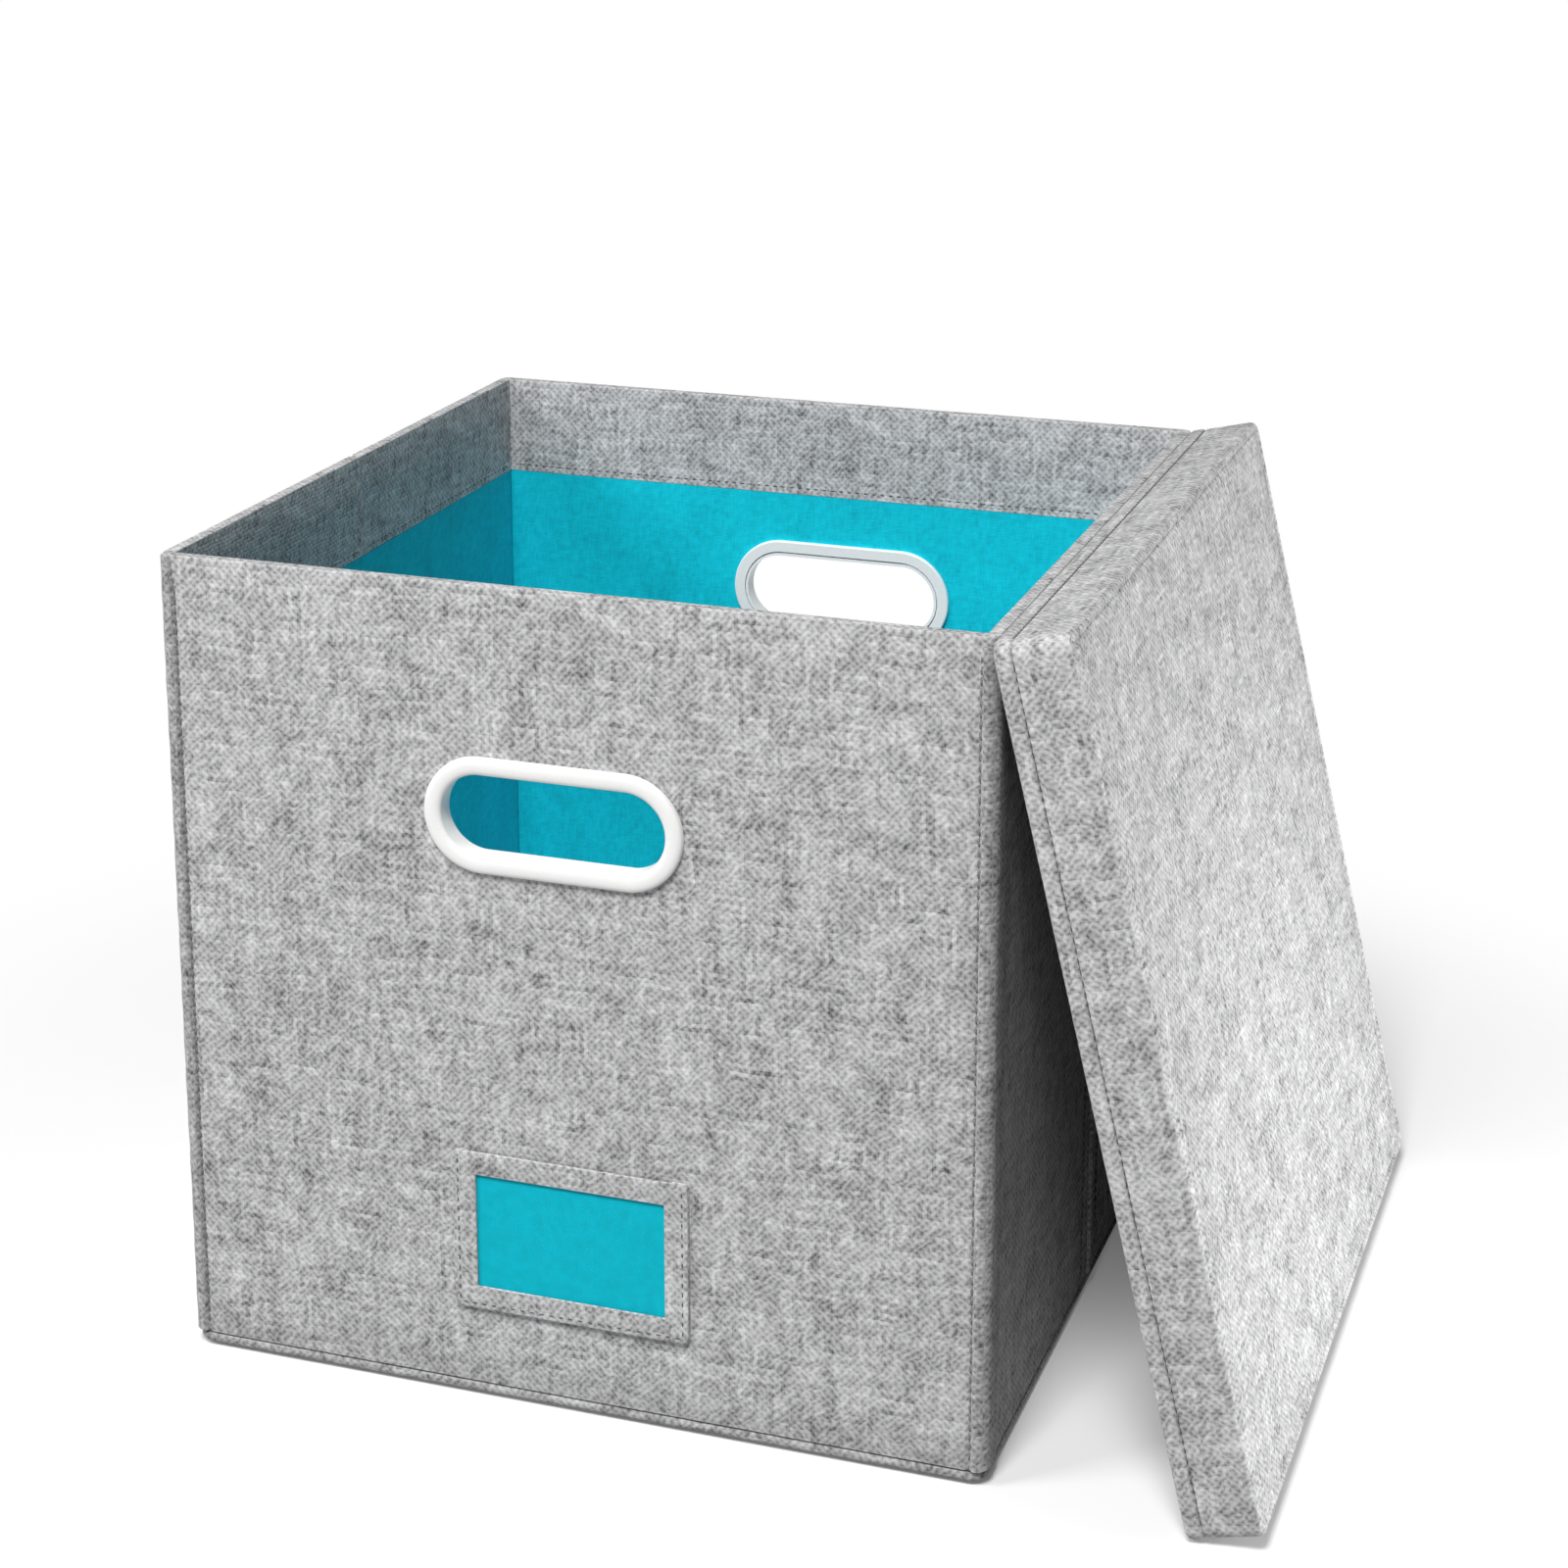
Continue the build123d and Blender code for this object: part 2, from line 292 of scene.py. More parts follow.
clothSockets = {
    "pitch": "Pitch",
    "yarnTone": "Yarn Tone",
    "hatchTone": "Hatch Tone",
    "fleckTone": "Fleck Tone",
    "mottleTone": "Mottle Tone",
    "gapShade": "Gap Shade",
}
weaveValues = {
    "wanderScale": 55.0,
    "wander": (1.6, -1.2),
    "roundness": 0.45,
    "yarnRun": (0.11, 0.09),
    "yarnSpread": (3.71, 3.37),
    "fleckSlant": 48,
    "fleckSize": (0.0044, 0.0027),
    "streakWidth": 1.8,
    "mottleScale": 30.0,
    "patchScale": 120.0,
    "patchContrast": (3.0, -1.05),
    "patchRange": (0.36, 0.64),
    "looseScale": 290.0,
    "loose": (1.5, -1.3),
    "middleHump": 0.62,
}


def makeWovenGroup():
    # Plain weave: two sets of uneven yarns, a few flecks on the slant and a slow mottling
    values = weaveValues
    group = bpy.data.node_groups.new("wovenYarn", "ShaderNodeTree")
    group.interface.new_socket(name="Vector", in_out="INPUT", socket_type="NodeSocketVector")
    for name in clothSockets.values():
        group.interface.new_socket(name=name, in_out="INPUT", socket_type="NodeSocketFloat")
    for name in ("Tone", "Height"):
        group.interface.new_socket(name=name, in_out="OUTPUT", socket_type="NodeSocketFloat")
    given = group.nodes.new("NodeGroupInput").outputs
    result = group.nodes.new("NodeGroupOutput").inputs

    def do(operation, *values):
        return calc(group, operation, *values)

    def centred(vector, scale, detail, roughness=0.5):
        return do("SUBTRACT", addNoise(group, vector, scale, detail, roughness), 0.5)

    def halfWave(value):
        return do("SINE", do("MULTIPLY", do("FRACT", value), pi))

    parts = addNode(group, "SeparateXYZ", {0: given["Vector"]}).outputs
    wander = centred(given["Vector"], values["wanderScale"], 1.0)
    acrossRaw = do("DIVIDE", parts["X"], given["Pitch"])
    upRaw = do("DIVIDE", parts["Y"], given["Pitch"])
    across = do("MULTIPLY_ADD", wander, values["wander"][0], acrossRaw)
    up = do("MULTIPLY_ADD", wander, values["wander"][1], upRaw)
    column = do("FLOOR", across)
    row = do("FLOOR", up)
    isWeft = do("FLOORED_MODULO", do("ADD", column, row), 2.0)
    crossRound = halfWave(across)
    upRound = halfWave(up)
    bend, flat = values["roundness"], 1 - values["roundness"]
    warpHump = do("MULTIPLY", crossRound, do("MULTIPLY_ADD", upRound, bend, flat))
    weftHump = do("MULTIPLY", upRound, do("MULTIPLY_ADD", crossRound, bend, flat))
    hump = mixValues(group, isWeft, warpHump, weftHump)

    # Every yarn has its own tone, which changes slowly along it
    (warpRun, weftRun), (warpSpread, weftSpread) = values["yarnRun"], values["yarnSpread"]
    warpSide = do("MULTIPLY", column, warpSpread)
    warpPlace = joinVector(group, warpSide, do("MULTIPLY", up, warpRun))
    weftSide = do("MULTIPLY_ADD", row, weftSpread, 50.0)
    weftPlace = joinVector(group, do("MULTIPLY", across, weftRun), weftSide)
    warpTone = addNoise(group, warpPlace, 1.0, 2.0, 0.6)
    weftTone = addNoise(group, weftPlace, 1.0, 2.0, 0.6)
    onTop = do("SUBTRACT", mixValues(group, isWeft, warpTone, weftTone), 0.5)
    both = do("SUBTRACT", do("ADD", warpTone, weftTone), 1.0)
    yarn = do("MULTIPLY_ADD", onTop, 0.5, do("MULTIPLY", both, 0.5))

    turned = {"Rotation": (0, 0, radians(values["fleckSlant"])), "Scale": (*values["fleckSize"], 1.0)}
    slant = addNode(group, "Mapping", {"Vector": given["Vector"], **turned}, vector_type="TEXTURE")
    fleck = centred(slant.outputs[0], 1.0, 0.4)
    wide = do("MULTIPLY", parts["X"], values["streakWidth"])
    mottle = centred(joinVector(group, wide, parts["Y"]), values["mottleScale"], 3.0, 0.6)

    # A fine hatch, whose slant changes from patch to patch
    least, most = values["patchRange"]
    patch = addNoise(group, given["Vector"], values["patchScale"], 1.0)
    patch = do("MULTIPLY_ADD", patch, *values["patchContrast"])
    patch = do("MINIMUM", do("MAXIMUM", patch, least), most)
    loose = centred(given["Vector"], values["looseScale"], 0.0)
    rise = do("MULTIPLY_ADD", loose, values["loose"][0], do("SUBTRACT", across, up))
    fall = do("MULTIPLY_ADD", loose, values["loose"][1], do("ADD", across, up))
    rising = do("COSINE", do("MULTIPLY", rise, pi))
    falling = do("COSINE", do("MULTIPLY", fall, pi))
    hatch = mixValues(group, patch, rising, falling)

    tone = 0.5
    patterns = {"Yarn Tone": yarn, "Hatch Tone": hatch, "Fleck Tone": fleck, "Mottle Tone": mottle}
    for name, pattern in patterns.items():
        tone = do("MULTIPLY_ADD", pattern, given[name], tone)
    # Yarn tops are painted lighter and the hollows between yarns darker: painted highlight and shade,
    # besides the bump
    dip = do("SUBTRACT", hump, values["middleHump"])
    tone = do("ADD", tone, do("MULTIPLY", dip, given["Gap Shade"]))
    group.links.new(tone, result["Tone"])
    group.links.new(do("MULTIPLY_ADD", yarn, 0.5, hump), result["Height"])
    return group


wovenGroup = makeWovenGroup()


def newMaterial(name, roughness):
    material = bpy.data.materials.new(name)
    material.use_nodes = True
    shader = material.node_tree.nodes["Principled BSDF"]
    shader.inputs["Roughness"].default_value = roughness
    return material, material.node_tree, shader


def makeCloth(name, values):
    material, tree, shader = newMaterial(name, values["roughness"])
    place = addNode(tree, "UVMap", {}, uv_map="UVMap").outputs[0]
    inputs = {socket: values[key] for key, socket in clothSockets.items()}
    weave = addNode(tree, "Group", {"Vector": place, **inputs}, node_tree=wovenGroup)
    dark, mid, light = (fromScreen(*values[key]) for key in ("dark", "mid", "light"))
    colour = addRamp(tree, weave.outputs["Tone"], ((0.2, dark), (0.5, mid), (0.8, light)))
    tree.links.new(colour, shader.inputs["Base Color"])
    addBump(tree, shader, weave.outputs["Height"], values["bumpStrength"], values["bumpDepth"])
    shader.inputs["Sheen Weight"].default_value = values["sheen"]
    shader.inputs["Sheen Roughness"].default_value = 0.5
    shader.inputs["Specular IOR Level"].default_value = 0.2
    return material


linenValues = {
    "dark": (80, 80, 81),
    "mid": (181, 181, 182),
    "light": (231, 231, 232),
    "pitch": 0.0017,
    "yarnTone": 0.5,
    "hatchTone": 0.11,
    "fleckTone": 0.22,
    "mottleTone": 0.27,
    "gapShade": 0.05,
    "bumpStrength": 0.4,
    "bumpDepth": 0.0002,
    "roughness": 0.92,
    "sheen": 0.12,
}
liningValues = {
    "dark": (0, 158, 176),
    "mid": (3, 204, 225),
    "light": (20, 226, 243),
    "pitch": 0.0007,
    "yarnTone": 0.35,
    "hatchTone": 0.02,
    "fleckTone": 0.15,
    "mottleTone": 0.25,
    "gapShade": 0.25,
    "bumpStrength": 0.4,
    "bumpDepth": 0.00012,
    "roughness": 0.85,
    "sheen": 0.02,
}
# A darker copy of the linen: painted shade for the rounded corner cloth and the bottom hem, which are the
# same cloth as the walls
linenShadeValues = {**linenValues, "dark": (70, 70, 71), "mid": (164, 164, 165), "light": (214, 214, 215)}
speckledValues = {
    "sewingThread": {"tones": ((66, 66, 68), (118, 118, 119)), "grain": 2600, "rough": 0.75, "bump": 0.0001},
    # Thread for the corner seams, which also stands in as painted shade in their groove
    "seamCordShade": {"tones": ((98, 98, 99), (150, 150, 151)), "grain": 1800, "rough": 0.8, "bump": 0.0001},
    "greyBoard": {"tones": ((112, 106, 96), (168, 160, 146)), "grain": 420, "rough": 0.9, "bump": 0.0002},
    "blackBacking": {"tones": ((34, 35, 38), (62, 63, 67)), "grain": 900, "rough": 0.85, "bump": 0.0002},
    "darkFelt": {"tones": ((19, 20, 22), (38, 39, 42)), "grain": 1400, "rough": 0.95, "bump": 0.0002},
    "labelPaper": {"tones": ((2, 179, 199), (4, 189, 210)), "grain": 300, "rough": 0.7, "bump": 0.00003},
}
plasticValues = {
    "colour": (245, 245, 244),
    "paler": 0.97,
    "grain": 900.0,
    "roughness": 0.3,
    "roughRange": 0.12,
    "bumpStrength": 0.15,
    "bumpDepth": 0.00005,
    "coat": 0.25,
}
filmValues = {
    "colour": (0.95, 0.97, 0.97, 1),
    "alpha": 0.003,
    "smear": 60.0,
    "roughness": 0.12,
    "roughRange": 0.1,
}

linen = makeCloth("linen", linenValues)
linenPaintedShade = makeCloth("linenPaintedShade", linenShadeValues)
liningCloth = makeCloth("turquoiseLining", liningValues)


def makeSpeckled(name):
    # Paper, board and thread: two close tones in a fine grain
    values = speckledValues[name]
    material, tree, shader = newMaterial(name, values["rough"])
    shader.inputs["Specular IOR Level"].default_value = 0.03
    grain = addGrain(tree, values["grain"], 4.0)
    dark, light = (fromScreen(*tone) for tone in values["tones"])
    colour = addRamp(tree, grain, ((0.35, dark), (0.65, light)))
    tree.links.new(colour, shader.inputs["Base Color"])
    addBump(tree, shader, grain, 0.5, values["bump"])
    return material


sewingThread = makeSpeckled("sewingThread")
seamCordShade = makeSpeckled("seamCordShade")
greyBoard = makeSpeckled("greyBoard")
blackBacking = makeSpeckled("blackBacking")
darkFelt = makeSpeckled("darkFelt")
labelPaper = makeSpeckled("labelPaper")


def varyRoughness(tree, shader, grain, values):
    low = values["roughness"] - values["roughRange"] / 2
    rough = calc(tree, "MULTIPLY_ADD", grain, values["roughRange"], low)
    tree.links.new(rough, shader.inputs["Roughness"])


def makePlastic():
    # White moulded plastic with a faint orange-peel skin
    values = plasticValues
    material, tree, shader = newMaterial("whitePlastic", values["roughness"])
    grain = addGrain(tree, values["grain"])
    tone = fromScreen(*values["colour"])
    paler = tuple(values["paler"] * value for value in tone)
    colour = addRamp(tree, grain, ((0.3, paler), (0.7, tone)))
    tree.links.new(colour, shader.inputs["Base Color"])
    varyRoughness(tree, shader, grain, values)
    addBump(tree, shader, grain, values["bumpStrength"], values["bumpDepth"])
    shader.inputs["Coat Weight"].default_value = values["coat"]
    shader.inputs["Coat Roughness"].default_value = 0.12
    return material


def makeFilm():
    values = filmValues
    material, tree, shader = newMaterial("clearFilm", values["roughness"])
    varyRoughness(tree, shader, addGrain(tree, values["smear"]), values)
    shader.inputs["Base Color"].default_value = values["colour"]
    shader.inputs["Alpha"].default_value = values["alpha"]
    return material


whitePlastic = makePlastic()
clearFilm = makeFilm()
note("materials")


def dress(obj, material):
    obj.data.materials.clear()
    obj.data.materials.append(material)


def finishPiece(obj, material, degrees=35):
    smooth(obj, degrees)
    unwrap(obj)
    dress(obj, material)


# Stage: camera, floor and light

cameraValues = {
    "place": (0.4538, -1.2314, 0.6840),
    "azimuth": 18.93,
    "elevation": 14.31,
    "focalPixels": 3275.0,
    "framePixels": 1600.0,
    "middleRow": 480.0,
    "sensor": 36.0,
}
cameraData = bpy.data.cameras.new("photoCamera")
cameraData.sensor_width = cameraValues["sensor"]
cameraData.lens = cameraValues["focalPixels"] / cameraValues["framePixels"] * cameraValues["sensor"]
cameraData.shift_y = cameraValues["middleRow"] / cameraValues["framePixels"] - 0.5
photoCamera = bpy.data.objects.new("photoCamera", cameraData)
photoCamera.location = cameraValues["place"]
tilt = radians(90 - cameraValues["elevation"])
photoCamera.rotation_euler = (tilt, 0, radians(cameraValues["azimuth"]))
bpy.context.collection.objects.link(photoCamera)
bpy.context.scene.camera = photoCamera

floorValues = {
    "radius": 9.0,
    "sunk": 0.0004,
    "seen": (250, 250, 250),
    "bounce": (186, 186, 186),
    "fadeFrom": 0.24,
    "fadeTo": 0.6,
    "lift": 0.12,
}


def makeFloor():
    values = floorValues
    bpy.ops.object.select_all(action="DESELECT")
    bpy.ops.mesh.primitive_circle_add(
        vertices=64, radius=values["radius"], fill_type="NGON", location=(0, 0, -values["sunk"])
    )
    floor = bpy.context.object
    floor.name = "paleFloor"
    applyPlace(floor)
    material, tree, shader = newMaterial("paleFloor", 0.95)
    shader.inputs["Specular IOR Level"].default_value = 0.0
    seen = seenRays(tree)
    dim, bright = ((*fromScreen(*values[key]), 1) for key in ("bounce", "seen"))
    colours = addNode(tree, "Mix", {"Factor": seen, "A": dim, "B": bright}, data_type="RGBA")
    tree.links.new(colours.outputs["Result"], shader.inputs["Base Color"])
    place = addNode(tree, "TexCoord", {}).outputs["Object"]
    distance = addNode(tree, "VectorMath", {0: place}, operation="LENGTH").outputs["Value"]
    limits = {"From Min": values["fadeFrom"], "From Max": values["fadeTo"]}
    fade = addNode(tree, "MapRange", {"Value": distance, **limits}, interpolation_type="SMOOTHSTEP")
    share = calc(tree, "MULTIPLY", calc(tree, "MAXIMUM", fade.outputs[0], values["lift"]), seen)
    glow = addNode(tree, "Emission", {}).outputs[0]
    mixer = addNode(tree, "MixShader", {"Fac": share, 1: shader.outputs[0], 2: glow})
    tree.links.new(mixer.outputs[0], tree.nodes["Material Output"].inputs["Surface"])
    floor.data.materials.append(material)


worldValues = {"strength": 0.02}


def makeWorld():
    world = bpy.data.worlds.new("paleRoom")
    world.use_nodes = True
    tree = world.node_tree
    sky = tree.nodes["Background"]
    sky.inputs["Color"].default_value = (1, 1, 1, 1)
    strength = mixValues(tree, seenRays(tree), worldValues["strength"], 1.0)
    tree.links.new(strength, sky.inputs["Strength"])
    bpy.context.scene.world = world


lampValues = {
    "frontLamp": {"place": (0.15, -1.9, 3.1), "aim": (0.0, 0.0, 0.17), "size": 1.0, "power": 112.0},
    "leftLamp": {"place": (-2.1, -1.7, 2.2), "aim": (0.0, 0.0, 0.17), "size": 1.0, "power": 45.0},
    "lowLamp": {"place": (0.8, 0.0, 0.07), "aim": (0.27, 0.0, 0.03), "size": 0.35, "power": 5.2},
}


def makeLamp(name, values):
    data = bpy.data.lights.new(name, "AREA")
    data.size = values["size"]
    data.energy = values["power"]
    lamp = bpy.data.objects.new(name, data)
    lamp.location = values["place"]
    away = Vector(values["aim"]) - Vector(values["place"])
    lamp.rotation_euler = away.to_track_quat("-Z", "Y").to_euler()
    lamp.visible_camera = False
    bpy.context.collection.objects.link(lamp)


makeFloor()
makeWorld()
for lampName, lampSettings in lampValues.items():
    makeLamp(lampName, lampSettings)
bpy.context.scene.view_settings.view_transform = "Standard"
note("camera, floor and light")


# Wall panels: each is modelled as if it were the front, then turned to its side of the box

panelValues = {
    "gridStep": 0.02,
    "liningStep": 0.009,
    "rimRound": 0.0022,
    "cornerRound": 0.0046,
    "creaseRound": 0.0030,
    "drawnHalf": 0.009,
    "drawnDepth": 0.00045,
    "drawnEnd": 0.012,
    "seamIn": 0.0058,
    "seamHalf": 0.0019,
    "seamDip": 0.0009,
    "seamTop": 0.003,
    "bottomRound": 0.0024,
    "facingProud": 0.0007,
    "unevenness": 0.00042,
    "unevenReach": 0.03,
    "liningPuff": 0.00028,
    "liningReach": 0.02,
    "liningThickness": 0.0006,
    "liningEdge": 0.0006,
    "liningSunk": 0.00005,
    "liningGap": 0.0002,
    "holeWidth": 0.0963,
    "holeHeight": 0.0373,
}
panels = {
    "front_wall": (0, boxDepth / 2, (-boxWidth / 2, boxWidth / 2), True),
    "back_wall": (180, boxDepth / 2, (-boxWidth / 2, boxWidth / 2), True),
    "right_front_half": (90, boxWidth / 2, (-sideReach, -creaseGap), False),
    "right_rear_half": (90, boxWidth / 2, (creaseGap, sideReach), False),
    "left_rear_half": (-90, boxWidth / 2, (-sideReach, -creaseGap), False),
    "left_front_half": (-90, boxWidth / 2, (creaseGap, sideReach), False),
}


def stretchToSlot(obj, width, height):
    # A round form whose two halves are drawn apart along X
    for side in (-1, 1):
        pick(obj, "VERT", lambda vert: vert.co.x * side > tiny)
        bpy.ops.transform.translate(value=(side * (width - height) / 2, 0, 0))
        finishEdit()


def cutHandHole(obj, faceY):
    values = panelValues
    bpy.ops.object.select_all(action="DESELECT")
    bpy.ops.mesh.primitive_cylinder_add(
        vertices=48, radius=values["holeHeight"] / 2, depth=0.04, rotation=(pi / 2, 0, pi / 48)
    )
    cutter = bpy.context.object
    applyPlace(cutter)
    stretchToSlot(cutter, values["holeWidth"], values["holeHeight"])
    cutter.location = (holeShift, faceY, holeRise)
    applyPlace(cutter)
    useModifier(obj, "BOOLEAN", operation="DIFFERENCE", object=cutter, solver="EXACT")
    bpy.data.objects.remove(cutter)


def pressCornerSeams(slab, face):
    # The seam of the corner cloth draws a soft groove into the end walls
    values = panelValues
    for side in (-1, 1):
        seam = side * (boxWidth / 2 - values["seamIn"])
        for offset in seamOffsets:
            bisectAt(slab, (seam + offset * values["seamHalf"], 0, 0), (1, 0, 0))
        for vert in slab.data.vertices:
            closeness = 1 - abs(vert.co.x - seam) / values["seamHalf"]
            below = vert.co.z < boxHeight - values["seamTop"]
            if vert.co.y < face + 0.001 and closeness > 0 and below:
                vert.co.y += values["seamDip"] * fadeIn(closeness, 1)


def pressFold(slab, face):
    # Beside its fold the cloth of a side wall is drawn in, so that the fold stands out
    values = panelValues
    half = values["drawnHalf"]
    for vert in slab.data.vertices:
        reach = abs(vert.co.x) - creaseGap - values["creaseRound"]
        if vert.co.y > face + 0.001 or reach <= 0:
            continue
        border = min(vert.co.z - wallBottom, boxHeight - vert.co.z) - 0.003
        draw = fadeIn(reach, half) * (1 - fadeIn(reach - half, 2 * half))
        vert.co.y += values["drawnDepth"] * draw * fadeIn(border, values["drawnEnd"])


def makePanelLinen(name, turn, distance, span, hasHole):
    values = panelValues
    face = -distance
    inner = face + wallThickness - values["facingProud"]
    slab = addBlock(name + "_linen", (span[0], face, wallBottom), (span[1], inner, boxHeight))
    subdivideAlong(slab, 0, round((span[1] - span[0]) / values["gridStep"]))
    subdivideAlong(slab, 2, round(boxHeight / values["gridStep"]))
    bisectAt(slab, (0, 0, facingLow), (0, 0, 1))
    if not hasHole:
        # Close cuts over the cloth that is drawn in beside the fold
        for step in range(1, 13):
            reach = creaseGap + values["creaseRound"] + values["drawnHalf"] * step / 4
            bisectAt(slab, (reach if span[0] > 0 else -reach, 0, 0), (1, 0, 0))
    pick(slab, "FACE", lambda f: f.normal.y > 0.9 and f.calc_center_median().z > facingLow)
    extrudeBy(0, values["facingProud"], 0)
    finishEdit()

    def isCorner(edge):
        middle = middleOf(edge)
        return runsAlong(edge, 2) and near(abs(middle.x), boxWidth / 2) and near(middle.y, face)

    def isRim(edge):
        return liesAt(edge, 2, boxHeight) and meetsSide(edge, 2) and (hasHole or runsAlong(edge, 0))

    def isCrease(edge):
        middle = middleOf(edge)
        return runsAlong(edge, 2) and near(abs(middle.x), creaseGap) and near(middle.y, face)

    def isFoot(edge):
        return liesAt(edge, 2, wallBottom) and runsAlong(edge, 0) and near(middleOf(edge).y, face)

    if hasHole:
        bevelEdges(slab, isCorner, values["cornerRound"], 5)
    else:
        bevelEdges(slab, isCrease, values["creaseRound"], 3)
    bevelEdges(slab, isRim, values["rimRound"], 3)
    bevelEdges(slab, isFoot, values["bottomRound"], 2)
    for vert in slab.data.vertices:
        if not near(vert.co.y, face):
            continue
        border = borderOf(vert.co.x, vert.co.z, (span[0], wallBottom), (span[1], boxHeight))
        swell = swellAt(vert.co.x, vert.co.z, distance + span[0] * 40)
        vert.co.y += values["unevenness"] * swell * fadeIn(border - 0.004, values["unevenReach"])
    if hasHole:
        pressCornerSeams(slab, face)
        cutHandHole(slab, face)
    else:
        pressFold(slab, face)
    turnAbout(slab, turn)
    finishPiece(slab, linen)
    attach(slab, name)
    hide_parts(name + "_cover")


def makePanelLining(name, turn, distance, span, hasHole):
    values = panelValues
    inner = -distance + wallThickness
    edge = values["liningEdge"]
    back = inner - values["liningSunk"]
    sheet = addBlock(
        name + "_inner_cloth",
        (span[0] + edge, back - values["liningThickness"], wallBottom + edge),
        (span[1] - edge, back, facingLow - values["liningGap"]),
    )
    subdivideAlong(sheet, 0, round((span[1] - span[0]) / values["liningStep"]))
    subdivideAlong(sheet, 2, round(boxHeight / values["liningStep"]))
    for vert in sheet.data.vertices:
        border = borderOf(vert.co.x, vert.co.z, (span[0], wallBottom), (span[1], facingLow))
        pull = swellAt(vert.co.x * 1.8, vert.co.z * 0.9, 3 + span[0] * 40)
        vert.co.y -= values["liningPuff"] * pull * fadeIn(border, values["liningReach"])
    if hasHole:
        cutHandHole(sheet, inner)
    turnAbout(sheet, turn)
    finishPiece(sheet, liningCloth)
    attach(sheet, name)
    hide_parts(name + "_lining")


for panelName, panelPlace in panels.items():
    makePanelLinen(panelName, *panelPlace)
    makePanelLining(panelName, *panelPlace)
    dress(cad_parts[panelName + "_board"], greyBoard)
note("wall panels")


# Cloth over the corners and creases

webValues = {
    "thickness": 0.0008,
    "proud": 0.0011,
    "arcStart": 14,
    "legLength": 0.010,
    "arcSteps": 8,
    "rises": 44,
    "puckerPitch": 0.019,
    "puckerDepth": 0.00012,
    "rightTopGap": 0.004,
    "leftTopGap": 0.0012,
    "footGap": 0.0003,
    "innerStep": 0.0009,
    "innerLower": 0.0006,
    "hingeRoom": 0.0003,
    "creaseFoot": 0.0005,
    "creaseTop": 0.0012,
    "creaseHalf": 0.0030,
    "creaseSunk": 0.0003,
    "creaseProud": 0.0012,
    "creaseThick": 0.0003,
    "innerCreaseHalf": 0.0012,
    "innerCreaseProud": 0.0001,
    "innerCreaseThick": 0.00008,
    "innerCreaseDepth": 0.0031,
}


def sweepUpright(name, points, low, high, rises):
    # An upright sheet that follows the points seen from above, extruded edge by edge
    bpy.ops.object.select_all(action="DESELECT")
    bpy.ops.mesh.primitive_plane_add(size=1)
    sheet = bpy.context.object
    sheet.name = name
    corners = ((points[0], low), (points[1], low), (points[0], high), (points[1], high))
    for vert, (point, height) in zip(sheet.data.vertices, corners):
        vert.co = (point[0], point[1], height)
    last = Vector((points[1][0], points[1][1]))
    pick(sheet, "EDGE", lambda edge: runsAlong(edge, 2) and (middleOf(edge).xy - last).length < tiny)
    for before, after in zip(points[1:], points[2:]):
        extrudeBy(after[0] - before[0], after[1] - before[1], 0)
    finishEdit()
    subdivideAlong(sheet, 2, rises)
    return sheet


def faceAwayFrom(obj, place):
    # Turns an open sheet so that its faces look away from an upright line
    far = max(obj.data.polygons, key=lambda face: face.area)
    outward = far.center.xy - Vector(place)
    if far.normal.xy.dot(outward) < 0:
        pick(obj, "FACE", lambda face: True)
        bpy.ops.mesh.flip_normals()
        finishEdit()


def cornerPoints(side, end, proud, legLength, fromSeam):
    # From the seam on the end wall, round the hinge line, to the side wall
    hingeX = boxWidth / 2 - wallThickness - webValues["hingeRoom"]
    hingeY = boxDepth / 2 - wallThickness
    radiusX = boxWidth / 2 + proud - hingeX
    radiusY = boxDepth / 2 + proud - hingeY
    seamX = boxWidth / 2 - panelValues["seamIn"]
    points = []
    if fromSeam:
        points += [
            (seamX - 0.0001, boxDepth / 2 - panelValues["seamDip"]),
            (seamX + 0.0004, boxDepth / 2 - 0.0001),
            (seamX + 0.0010, boxDepth / 2 + proud * 0.7),
        ]
    steps = webValues["arcSteps"]
    first = radians(webValues["arcStart"]) if fromSeam else 0
    for step in range(steps + 1):
        angle = first + (pi / 2 - first) * step / steps
        points.append((hingeX + radiusX * sin(angle), hingeY + radiusY * cos(angle)))
    if legLength:
        reach = hingeY - legLength
        points += [
            (boxWidth / 2 + proud, reach + 0.002),
            (boxWidth / 2 + proud * 0.75, reach + 0.0007),
            (boxWidth / 2 - 0.0003, reach),
        ]
    return [(side * x, end * y) for x, y in points], (side * hingeX, end * hingeY)


def finishWeb(web, material, thickness=webValues["thickness"]):
    useModifier(web, "SOLIDIFY", thickness=thickness, offset=-1.0, use_rim=True)
    finishPiece(web, material, 50)


def pucker(web, centre):
    # The cloth draws in a little at each pass of the seam
    values = webValues
    for vert in web.data.vertices:
        away = (vert.co.xy - Vector(centre)).normalized()
        wave = sin(vert.co.z * 2 * pi / values["puckerPitch"] + vert.co.x * 200)
        draw = values["puckerDepth"] * wave + 0.0001 * ripple(vert.co.z, vert.co.y, 5)
        vert.co.x -= away.x * draw
        vert.co.y -= away.y * draw


